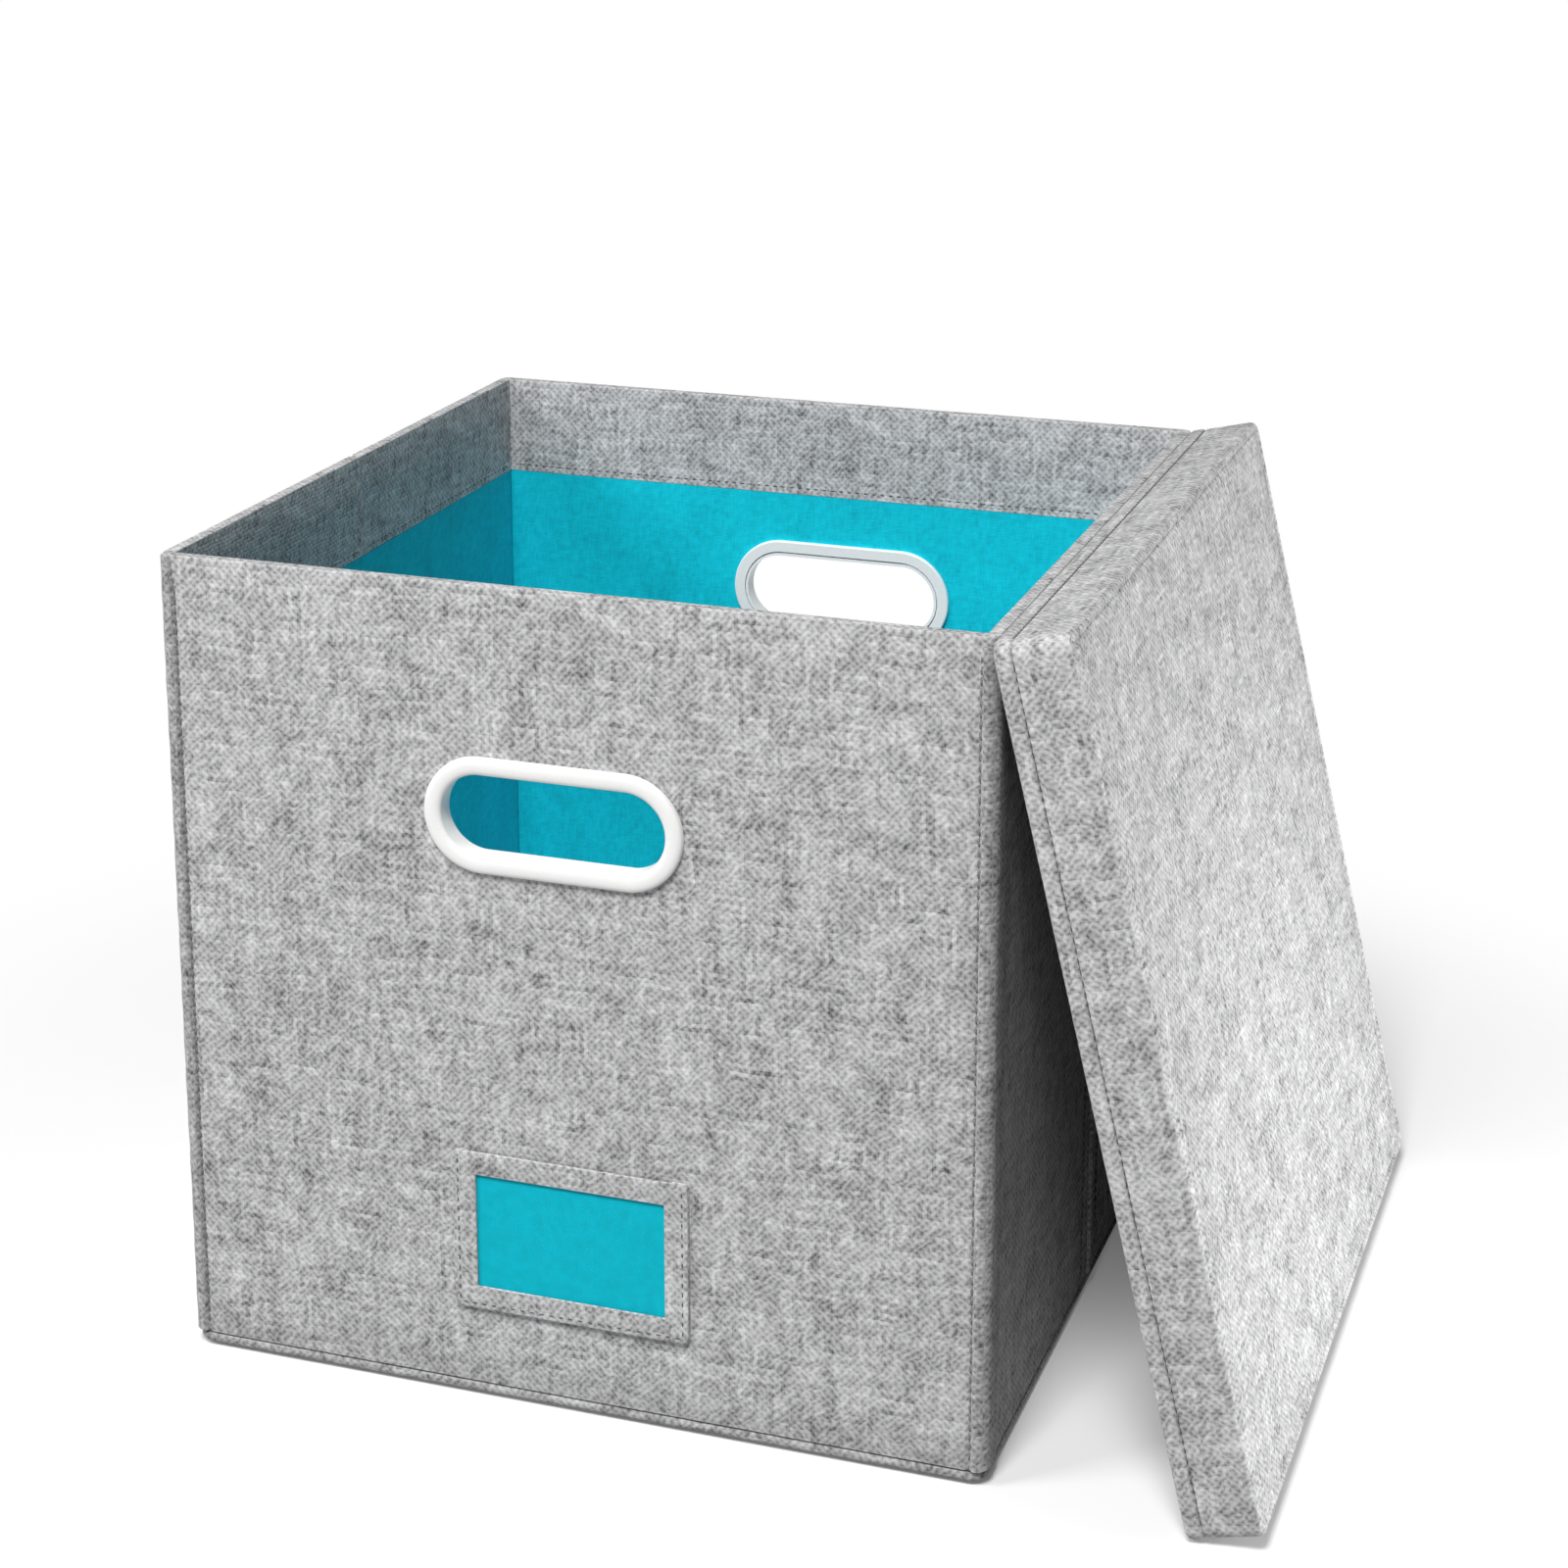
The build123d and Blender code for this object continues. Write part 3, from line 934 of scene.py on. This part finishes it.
def makeCornerSheet(name, side, end, proud, legLength, lower=0.0):
    # The outer layers start at the seam; the layer below them has no seam and ends a little lower
    values = webValues
    topGap = values["rightTopGap"] if side > 0 else values["leftTopGap"]
    low, high = wallBottom + values["footGap"], boxHeight - topGap
    points, centre = cornerPoints(side, end, proud, legLength, not lower)
    web = sweepUpright(name, points, low, high - lower, values["rises"])
    if not lower:
        pucker(web, centre)
    faceAwayFrom(web, centre)
    # The corner cloth takes the darker linen copy, painted shade on the rounded corners
    finishWeb(web, linenPaintedShade)
    return web, centre


def makeCornerWeb(word, side, end):
    proud, legLength = webValues["proud"], webValues["legLength"]
    web, centre = makeCornerSheet(word + "_corner_cloth", side, end, proud, legLength)
    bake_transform(web)
    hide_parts(word + "_corner_strip")


makeCornerWeb("front_right", 1, -1)
makeCornerWeb("front_left", -1, -1)
makeCornerWeb("back_right", 1, 1)


def makeOpenCorner():
    # This corner has no joint: one layer stays on the back wall and slides over one on the side
    values = webValues
    outer, centre = makeCornerSheet("back_left_corner_cloth", -1, 1, values["proud"], 0)
    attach(outer, "back_wall")
    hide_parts("back_left_corner_strip")
    proud = values["proud"] - values["innerStep"]
    lower = values["innerLower"]
    inner, centre = makeCornerSheet("back_left_corner_fold", -1, 1, proud, values["legLength"], lower)
    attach(inner, "left_rear_half")


makeOpenCorner()


def makeCreases():
    values = webValues
    for side, front, rear in (
        (1, "right_front_half", "right_rear_half"),
        (-1, "left_front_half", "left_rear_half"),
    ):
        word = "right" if side > 0 else "left"
        half = values["creaseHalf"]
        # Outside it stands up as a low ridge over the fold
        x = side * (boxWidth / 2 - values["creaseSunk"])
        rise = side * (values["creaseSunk"] + values["creaseProud"])
        points = [(x + rise * cos(pi * step / 12), half * step / 6) for step in range(-6, 7)]
        foot, top = wallBottom + values["creaseFoot"], boxHeight - values["creaseTop"]
        web = sweepUpright(word + "_crease_cloth", points, foot, top, 20)
        faceAwayFrom(web, (0, 0))
        finishWeb(web, linen, values["creaseThick"])
        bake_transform(web)
        # Inside, the cloth is tucked into the gap, so that it has the length to go round the fold
        inside = side * (boxWidth / 2 - wallThickness - values["innerCreaseProud"])
        half = values["innerCreaseHalf"]
        tucked = [
            (inside, half),
            (inside, 0.0003),
            (inside + side * 0.0004, 0.00011),
            (inside + side * values["innerCreaseDepth"], 0.0),
        ]
        across = [(x, -y) for x, y in tucked] + tucked[2::-1]
        bands = (
            ("_crease_facing", facingLow, boxHeight - 0.001, linen, "linen"),
            ("_crease_lining", foot, facingLow - 0.0002, liningCloth, "turquoise_lining"),
        )
        for ending, low, high, material, slotName in bands:
            strip = sweepUpright(word + ending, across, low, high, 12)
            if strip.data.polygons[0].normal.x * side > 0:
                strip.data.flip_normals()
            finishWeb(strip, material, values["innerCreaseThick"])
            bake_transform(strip)


makeCreases()
note("corner and crease cloth")


# Soft bottom with its turned-up hem

bottomValues = {
    "cornerRound": 0.0065,
    "edgeRound": 0.0026,
    "hemWidth": 0.004,
    "sheet": 0.001,
    "lipRound": 0.0022,
    "drawnReach": 0.016,
    "drawnUp": 0.0014,
    "foldedDepth": 0.0319,
}


def makeBottom():
    values = bottomValues
    low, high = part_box("bottom_cloth")
    tray = addBlock("bottom_cloth_tray", low, high)
    bevelEdges(tray, lambda edge: runsAlong(edge, 2), values["cornerRound"], 8)
    bevelEdges(tray, lambda edge: liesAt(edge, 2, low.z), values["edgeRound"], 4)
    pick(tray, "FACE", lambda face: face.normal.z > 0.9)
    bpy.ops.mesh.inset(thickness=values["hemWidth"], depth=0)
    extrudeBy(0, 0, low.z + values["sheet"] - high.z)
    finishEdit()
    bevelEdges(tray, lambda edge: liesAt(edge, 2, high.z) and meetsSide(edge, 2), values["lipRound"], 3)
    # The hem is drawn up a little at the rounded corners
    for vert in tray.data.vertices:
        ends = Vector((boxWidth / 2 - abs(vert.co.x), boxDepth / 2 - abs(vert.co.y)))
        draw = 1 - fadeIn(ends.length, values["drawnReach"])
        vert.co.z += values["drawnUp"] * draw * (1 - fadeIn(vert.co.z, high.z * 0.8))
    subdivideAlong(tray, 0, 1)
    # The hem takes the darker linen copy, painted shade along the foot
    finishPiece(tray, linenPaintedShade, 40)
    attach(tray, "front_wall")
    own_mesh(tray)
    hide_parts("bottom_cloth")


makeBottom()
note("bottom cloth")


# Base insert that lifts out

insertValues = {
    "edgeRound": 0.0014,
    "cornerRound": 0.005,
    "strips": 16,
    "puff": 0.0004,
    "puffReach": 0.02,
    "turnIn": 0.015,
    "turnInProud": 0.00012,
}


def makeInsert():
    values = insertValues
    low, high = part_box("base_cover")
    slab = addBlock("base_insert_linen", low, high)
    bevelEdges(slab, lambda edge: runsAlong(edge, 2), values["cornerRound"], 6)
    bevelEdges(slab, lambda edge: not runsAlong(edge, 2) and meetsSide(edge, 2), values["edgeRound"], 3)
    bisectGrid(slab, low, high, values["strips"])
    for vert in slab.data.vertices:
        border = borderOf(vert.co.x, vert.co.y, low, high)
        if near(vert.co.z, high.z):
            swell = swellAt(vert.co.x, vert.co.y, 9)
            vert.co.z -= values["puff"] * swell * fadeIn(border - 0.003, values["puffReach"])
        elif near(vert.co.z, low.z):
            # Under the sheet the cloth is only the narrow turn-in
            vert.co.z += values["turnInProud"] if border > values["turnIn"] else 0
    finishPiece(slab, linen)
    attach(slab, "base_insert")
    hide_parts("base_cover")
    dress(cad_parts["base_board"], greyBoard)
    dress(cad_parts["base_backing"], blackBacking)


makeInsert()
note("base insert")


# Grips: a crowned ring with its sleeve outside, the flat clip inside

gripValues = {
    "border": 0.0072,
    "proud": 0.0025,
    "skin": 0.0012,
    "crownSteps": 9,
    "crownBend": 0.45,
    "innerRise": 0.35,
    "sleeve": 0.0067,
}


def makeGrip(word, turn):
    values = gripValues
    face = -boxDepth / 2
    width = ringHigh.x - ringLow.x
    height = ringHigh.z - ringLow.z
    bpy.ops.object.select_all(action="DESELECT")
    place = (0, face, holeRise)
    bpy.ops.mesh.primitive_circle_add(
        vertices=72, radius=height / 2, fill_type="NGON", location=place, rotation=(pi / 2, 0, 0)
    )
    ring = bpy.context.object
    ring.name = word + "_grip_border"
    applyPlace(ring)
    for vert in ring.data.vertices:
        if abs(vert.co.x) < tiny:
            vert.co.x = 0.0001 if vert.co.z > holeRise else -0.0001
    stretchToSlot(ring, width, height)
    steps = values["crownSteps"]
    pick(ring, "FACE", lambda face: True)
    lastDistance, lastHeight = 0.0, 0.0
    for step in range(1, steps + 1):
        angle = pi * step / steps
        distance = values["border"] / 2 * (1 - cos(angle))
        rise = values["proud"] * max(sin(angle), 0.0) ** values["crownBend"]
        if step == steps:
            rise = values["proud"] * values["innerRise"]
        bpy.ops.mesh.inset(
            thickness=distance - lastDistance, depth=rise - lastHeight, use_even_offset=True
        )
        lastDistance, lastHeight = distance, rise
    extrudeBy(0, values["sleeve"] + lastHeight, 0)
    bpy.ops.mesh.delete(type="ONLY_FACE")
    finishEdit()
    useModifier(ring, "SOLIDIFY", thickness=values["skin"], offset=-1.0, use_rim=True)
    ring.location = (holeShift, 0, 0)
    applyPlace(ring)
    turnAbout(ring, turn)
    finishPiece(ring, whitePlastic, 45)
    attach(ring, word + "_wall")
    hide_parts(word + "_grip_ring")
    dress(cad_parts[word + "_grip_clip"], whitePlastic)


makeGrip("front", 0)
makeGrip("back", 180)
note("grips")


# Label pocket on the front

pocketValues = {"edgeRound": 0.0006, "cornerRound": 0.0022, "border": 0.010, "seamIn": 0.0024}


def makePocket():
    values = pocketValues
    low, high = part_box("label_pocket")
    filmLow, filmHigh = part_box("label_film")
    frameSheet = addBlock("label_pocket_frame", low, high)
    pick(frameSheet, "FACE", lambda face: abs(face.normal.y) > 0.9)
    bpy.ops.mesh.inset(thickness=values["border"], depth=0)
    bpy.ops.mesh.bridge_edge_loops()
    finishEdit()

    def isOuterCorner(edge):
        middle = middleOf(edge)
        return runsAlong(edge, 1) and (near(middle.x, low.x) or near(middle.x, high.x))

    def isFrontEdge(edge):
        return liesAt(edge, 1, low.y) and meetsSide(edge, 1)

    bevelEdges(frameSheet, isOuterCorner, values["cornerRound"], 4)
    bevelEdges(frameSheet, isFrontEdge, values["edgeRound"], 3)
    pick(frameSheet, "FACE", lambda face: True)
    bpy.ops.mesh.normals_make_consistent(inside=False)
    finishEdit()
    # The card slides in from the top, behind the film
    cutter = addBlock("pocket_cutter", filmLow, (filmHigh.x, high.y + 0.002, high.z + 0.002))
    useModifier(frameSheet, "BOOLEAN", operation="DIFFERENCE", object=cutter, solver="EXACT")
    bpy.data.objects.remove(cutter)
    finishPiece(frameSheet, linen, 40)
    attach(frameSheet, "front_wall")
    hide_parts("label_pocket")
    dress(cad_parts["label_film"], clearFilm)
    dress(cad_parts["label_card"], labelPaper)


makePocket()
note("label pocket")


# Lid: modelled lying flat with its plate up, then leaned into place

lidValues = {
    "lean": 13.4,
    "depth": 0.030,
    "hem": 0.007,
    "seamRound": 0.0009,
    "cornerRound": 0.0062,
    "plateRound": 0.0028,
    "shell": 0.0031,
    "hemProud": 0.0003,
    "hemInner": 0.004,
    "hemRound": 0.0018,
    "hemWave": 0.00012,
    "hemCuts": 30,
    "strips": 20,
    "crown": 0.0006,
    "crownReach": 0.05,
    "seamIn": 0.0040,
    "seamDip": 0.0009,
    "seamHalf": 0.0020,
    "liningOut": 0.0031,
    "lining": 0.0007,
    "liningStrips": 24,
    "liningCorner": 0.0026,
    "liningEdge": 0.0018,
    "sag": 0.0007,
    "sagReach": 0.03,
    "ceiling": 0.0252,
}
lidLean = radians(lidValues["lean"])
hemLow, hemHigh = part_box("lid_hem")
lidWidth = hemHigh.y - hemLow.y
lidMiddle = (hemHigh.y + hemLow.y) / 2
lidLength = (hemHigh.z - lidValues["hem"] * sin(lidLean)) / cos(lidLean)
lidFoot = hemHigh.x - lidValues["hem"] * cos(lidLean)
leanedFrame = Matrix(
    (
        (-sin(lidLean), 0, cos(lidLean), lidFoot),
        (0, -1, 0, lidMiddle),
        (cos(lidLean), 0, sin(lidLean), 0),
        (0, 0, 0, 1),
    )
)
lidLow = (0, -lidWidth / 2)
lidHigh = (lidLength, lidWidth / 2)


def leanInPlace(obj):
    obj.matrix_world = leanedFrame
    applyPlace(obj)


def pressPlateSeam(shell, top):
    # Just inside its edge the cloth of the plate dips a little between the boards
    values = lidValues
    for offset in seamOffsets:
        inset = values["seamIn"] + offset * values["seamHalf"]
        for x in (inset, lidLength - inset):
            bisectAt(shell, (x, 0, 0), (1, 0, 0))
        for y in (inset - lidWidth / 2, lidWidth / 2 - inset):
            bisectAt(shell, (0, y, 0), (0, 1, 0))
    for vert in shell.data.vertices:
        if near(vert.co.z, top):
            border = borderOf(vert.co.x, vert.co.y, lidLow, lidHigh)
            closeness = 1 - abs(border - values["seamIn"]) / values["seamHalf"]
            vert.co.z -= values["seamDip"] * fadeIn(closeness, 1)


def makeLidShell():
    values = lidValues
    low, high = (*lidLow, values["hem"]), (*lidHigh, values["depth"])
    shell = addBlock("lid_linen", low, high)
    bevelEdges(shell, lambda edge: runsAlong(edge, 2), values["cornerRound"], 7)
    bevelEdges(shell, lambda edge: liesAt(edge, 2, high[2]), values["plateRound"], 4)
    bevelEdges(shell, lambda edge: liesAt(edge, 2, low[2]), values["seamRound"], 2)
    pick(shell, "FACE", lambda face: face.normal.z < -0.9)
    bpy.ops.mesh.inset(thickness=values["shell"], depth=0)
    extrudeBy(0, 0, values["ceiling"] + values["lining"] - low[2])
    finishEdit()
    bisectGrid(shell, lidLow, lidHigh, values["strips"])
    for vert in shell.data.vertices:
        border = borderOf(vert.co.x, vert.co.y, lidLow, lidHigh)
        if near(vert.co.z, high[2]):
            swell = 0.35 + 0.65 * swellAt(vert.co.x, vert.co.y, 2)
            vert.co.z -= values["crown"] * swell * fadeIn(border - 0.008, values["crownReach"])
    pressPlateSeam(shell, high[2])
    finishPiece(shell, linen, 40)
    leanInPlace(shell)
    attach(shell, "lid")
    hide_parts("lid_cover")


def makeLidHem():
    values = lidValues
    proud = values["hemProud"]
    hem = addBlock(
        "lid_edge_hem",
        (-proud, -lidWidth / 2 - proud, 0),
        (lidLength + proud, lidWidth / 2 + proud, values["hem"]),
    )
    bevelEdges(hem, lambda edge: runsAlong(edge, 2), values["cornerRound"] + proud, 7)
    pick(hem, "FACE", lambda face: abs(face.normal.z) > 0.9)
    bpy.ops.mesh.delete(type="ONLY_FACE")
    finishEdit()
    thickness = values["hemInner"] + proud - 0.0002
    useModifier(hem, "SOLIDIFY", thickness=thickness, offset=-1.0, use_rim=True, use_even_offset=True)

    def isLongEdge(edge):
        return sum(abs(face.normal.z) > 0.9 for face in edge.link_faces) == 1

    bevelEdges(hem, isLongEdge, values["hemRound"], 4)
    subdivideAlong(hem, 0, values["hemCuts"])
    subdivideAlong(hem, 1, values["hemCuts"])
    for vert in hem.data.vertices:
        if vert.co.z > values["hem"] / 2:
            wave = sin(vert.co.x * 2 * pi / 0.021) * sin(vert.co.y * 2 * pi / 0.023 + 1)
            vert.co.z += values["hemWave"] * wave
    finishPiece(hem, linen, 50)
    leanInPlace(hem)
    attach(hem, "lid")
    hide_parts("lid_hem")


def makeLidLining():
    values = lidValues
    out = values["liningOut"] + 0.0001
    low = (out, -lidWidth / 2 + out, values["hem"] - 0.0004)
    high = (lidLength - out, lidWidth / 2 - out, values["ceiling"])
    cloth = addBlock("lid_inner_cloth", low, high)
    bevelEdges(cloth, lambda edge: runsAlong(edge, 2), values["liningCorner"], 4)
    bevelEdges(cloth, lambda edge: liesAt(edge, 2, high[2]), values["liningEdge"], 3)
    pick(cloth, "FACE", lambda face: face.normal.z < -0.9)
    bpy.ops.mesh.delete(type="ONLY_FACE")
    finishEdit()
    bisectGrid(cloth, lidLow, lidHigh, values["liningStrips"])
    for vert in cloth.data.vertices:
        border = borderOf(vert.co.x, vert.co.y, lidLow, lidHigh)
        if near(vert.co.z, high[2]):
            sag = swellAt(vert.co.x * 1.6, vert.co.y * 0.8, 7)
            vert.co.z -= values["sag"] * sag * fadeIn(border - 0.004, values["sagReach"])
    useModifier(cloth, "SOLIDIFY", thickness=values["lining"], offset=-1.0, use_rim=True)
    finishPiece(cloth, darkFelt, 50)
    leanInPlace(cloth)
    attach(cloth, "lid")
    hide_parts("lid_lining")


makeLidShell()
makeLidHem()
makeLidLining()
dress(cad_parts["lid_plate_board"], greyBoard)
for word in ("front", "rear", "upper", "lower"):
    dress(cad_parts["lid_skirt_board_" + word], greyBoard)
note("lid")


# Sewing: one arched stitch, repeated along each seam

stitchValues = {
    "length": 0.0028,
    "thickness": 0.0005,
    "pitch": 0.0041,
    "sink": 0.0002,
    # Thick rows of dark thread also paint shade lines: in the corner seams, at the side walls' foot and
    # along the lid's upper edge
    "shadeLineWeight": 2.4,
    "upright": 1.9,
    "bottom": 1.6,
    "close": 1.5,
    "lidShadeLine": 2.6,
    "aboveFacing": 0.003,
    "endMargin": 0.004,
    "foldMargin": 0.006,
    "lidMargin": 0.007,
}
stitchRows = {}


def addStitches(body, start, end, outward, weight=1.0, stretch=1.0, thread=sewingThread):
    values = stitchValues
    start, end, outward = Vector(start), Vector(end), Vector(outward).normalized()
    along = end - start
    count = max(int(along.length / values["pitch"]), 2)
    bpy.ops.object.select_all(action="DESELECT")
    bpy.ops.mesh.primitive_uv_sphere_add(segments=6, ring_count=5, radius=0.5, rotation=(0, pi / 2, 0))
    stitch = bpy.context.object
    applyPlace(stitch)
    thickness = values["thickness"] * weight
    stitch.scale = (values["length"] * stretch, thickness * 1.3, thickness)
    applyPlace(stitch)
    pick(stitch, "VERT", lambda vert: abs(vert.co.x) > values["length"] * 0.3)
    bpy.ops.transform.translate(value=(0, 0, -values["sink"]))
    finishEdit()
    useModifier(
        stitch,
        "ARRAY",
        count=count,
        use_relative_offset=False,
        use_constant_offset=True,
        constant_offset_displace=(along.length / count, 0, 0),
    )
    smooth(stitch, 80)
    along.normalize()
    across = outward.cross(along)
    turn = Matrix((along, across, outward)).transposed().to_4x4()
    stitch.matrix_world = Matrix.Translation(start + along * values["pitch"] / 2) @ turn
    applyPlace(stitch)
    stitchRows.setdefault((body, thread), []).append(stitch)


def sewRow(body, place, first, last, outward, weight=1.0, stretch=1.0):
    # A row given as its piece lies before it is turned or leaned into place
    facing = place.to_3x3() @ Vector(outward)
    addStitches(body, place @ Vector(first), place @ Vector(last), facing, weight, stretch)


def joinStitches():
    for (body, thread), rows in stitchRows.items():
        activate(rows[0])
        for row in rows:
            row.select_set(True)
        bpy.ops.object.join()
        joined = bpy.context.object
        joined.name = body + ("_stitches" if thread == sewingThread else "_seam_shade_cords")
        dress(joined, thread)
        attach(joined, body)


def sewCorners():
    # The seam that holds the corner cloth, on the end walls, sewn as one close thick row whose darker thread
    # is also painted shade for the seam groove
    for body, end in (("front_wall", -1), ("back_wall", 1)):
        for side in (-1, 1):
            topGap = webValues["rightTopGap"] if side > 0 else webValues["leftTopGap"]
            x = side * (boxWidth / 2 - panelValues["seamIn"] - 0.0002)
            y = end * (boxDepth / 2 - panelValues["seamDip"] + 0.0002)
            low, high = (x, y, wallBottom + 0.004), (x, y, boxHeight - topGap - 0.003)
            addStitches(body, low, high, (0, end, 0), stitchValues["shadeLineWeight"], stitchValues["close"], seamCordShade)


def sewFacings():
    # Inside the rim one row holds the linen facing; outside one row joins each wall to the bottom
    values = stitchValues
    rise = facingLow + values["aboveFacing"]
    margin = values["endMargin"]
    for name, (turn, distance, span, hasHole) in panels.items():
        spin = Matrix.Rotation(radians(turn), 4, "Z")
        y = -distance + wallThickness + 0.00002
        inset = wallThickness + 0.003 if hasHole else margin
        sewRow(name, spin, (span[0] + inset, y, rise), (span[1] - inset, y, rise), (0, 1, 0))
        y, z = 0.0006 - distance, wallBottom + 0.0003
        # On the side walls the bottom row is thick, so that its dark thread is painted shade along the foot
        weight = values["bottom"] if hasHole else values["shadeLineWeight"]
        start, end = (span[0] + margin, y, z), (span[1] - margin, y, z)
        sewRow(name, spin, start, end, (0, -1, 0), weight, values["close"])
        if hasHole:
            continue
        # Beside the fold an upright row lies in the drawn-in cloth; its thick dark thread is also painted
        # shade for the line beside the fold
        fold = creaseGap + panelValues["creaseRound"] + panelValues["drawnHalf"]
        x = fold if span[0] > 0 else -fold
        y = panelValues["drawnDepth"] - 0.0001 - distance
        start = (x, y, wallBottom + values["foldMargin"])
        end = (x, y, boxHeight - values["foldMargin"])
        sewRow(name, spin, start, end, (0, -1, 0), values["upright"], values["close"])


def sewPocket():
    low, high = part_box("label_pocket")
    y = low.y - 0.00002
    edge = pocketValues["seamIn"]
    rows = (
        ((low.x + edge, low.z + edge), (high.x - edge, low.z + edge)),
        ((low.x + edge, low.z + edge), (low.x + edge, high.z - edge)),
        ((high.x - edge, low.z + edge), (high.x - edge, high.z - edge)),
    )
    for (x0, z0), (x1, z1) in rows:
        addStitches("front_wall", (x0, y, z0), (x1, y, z1), (0, -1, 0))


def sewLid():
    values = lidValues
    margin = stitchValues["lidMargin"]
    rise = values["hem"] + 0.0001
    half = lidWidth / 2 - 0.0003
    end = lidLength - 0.0003
    shadeLineWeight = stitchValues["lidShadeLine"]
    rows = (
        ((margin, half, rise), (lidLength - margin, half, rise), (0, 1, 0), 1.0, 1.0),
        ((margin, -half, rise), (lidLength - margin, -half, rise), (0, -1, 0), 1.0, 1.0),
        # The row at the upper end is thick dark thread, painted shade for the gap between hem and skirt
        ((end - 0.0002, margin - half, rise), (end - 0.0002, half - margin, rise), (1, 0, 0), shadeLineWeight, 1.5),
        ((0.0003, margin - half, rise), (0.0003, half - margin, rise), (-1, 0, 0), 1.0, 1.0),
    )
    for row in rows:
        sewRow("lid", leanedFrame, *row)


sewCorners()
sewFacings()
sewPocket()
sewLid()
joinStitches()
note("sewing")
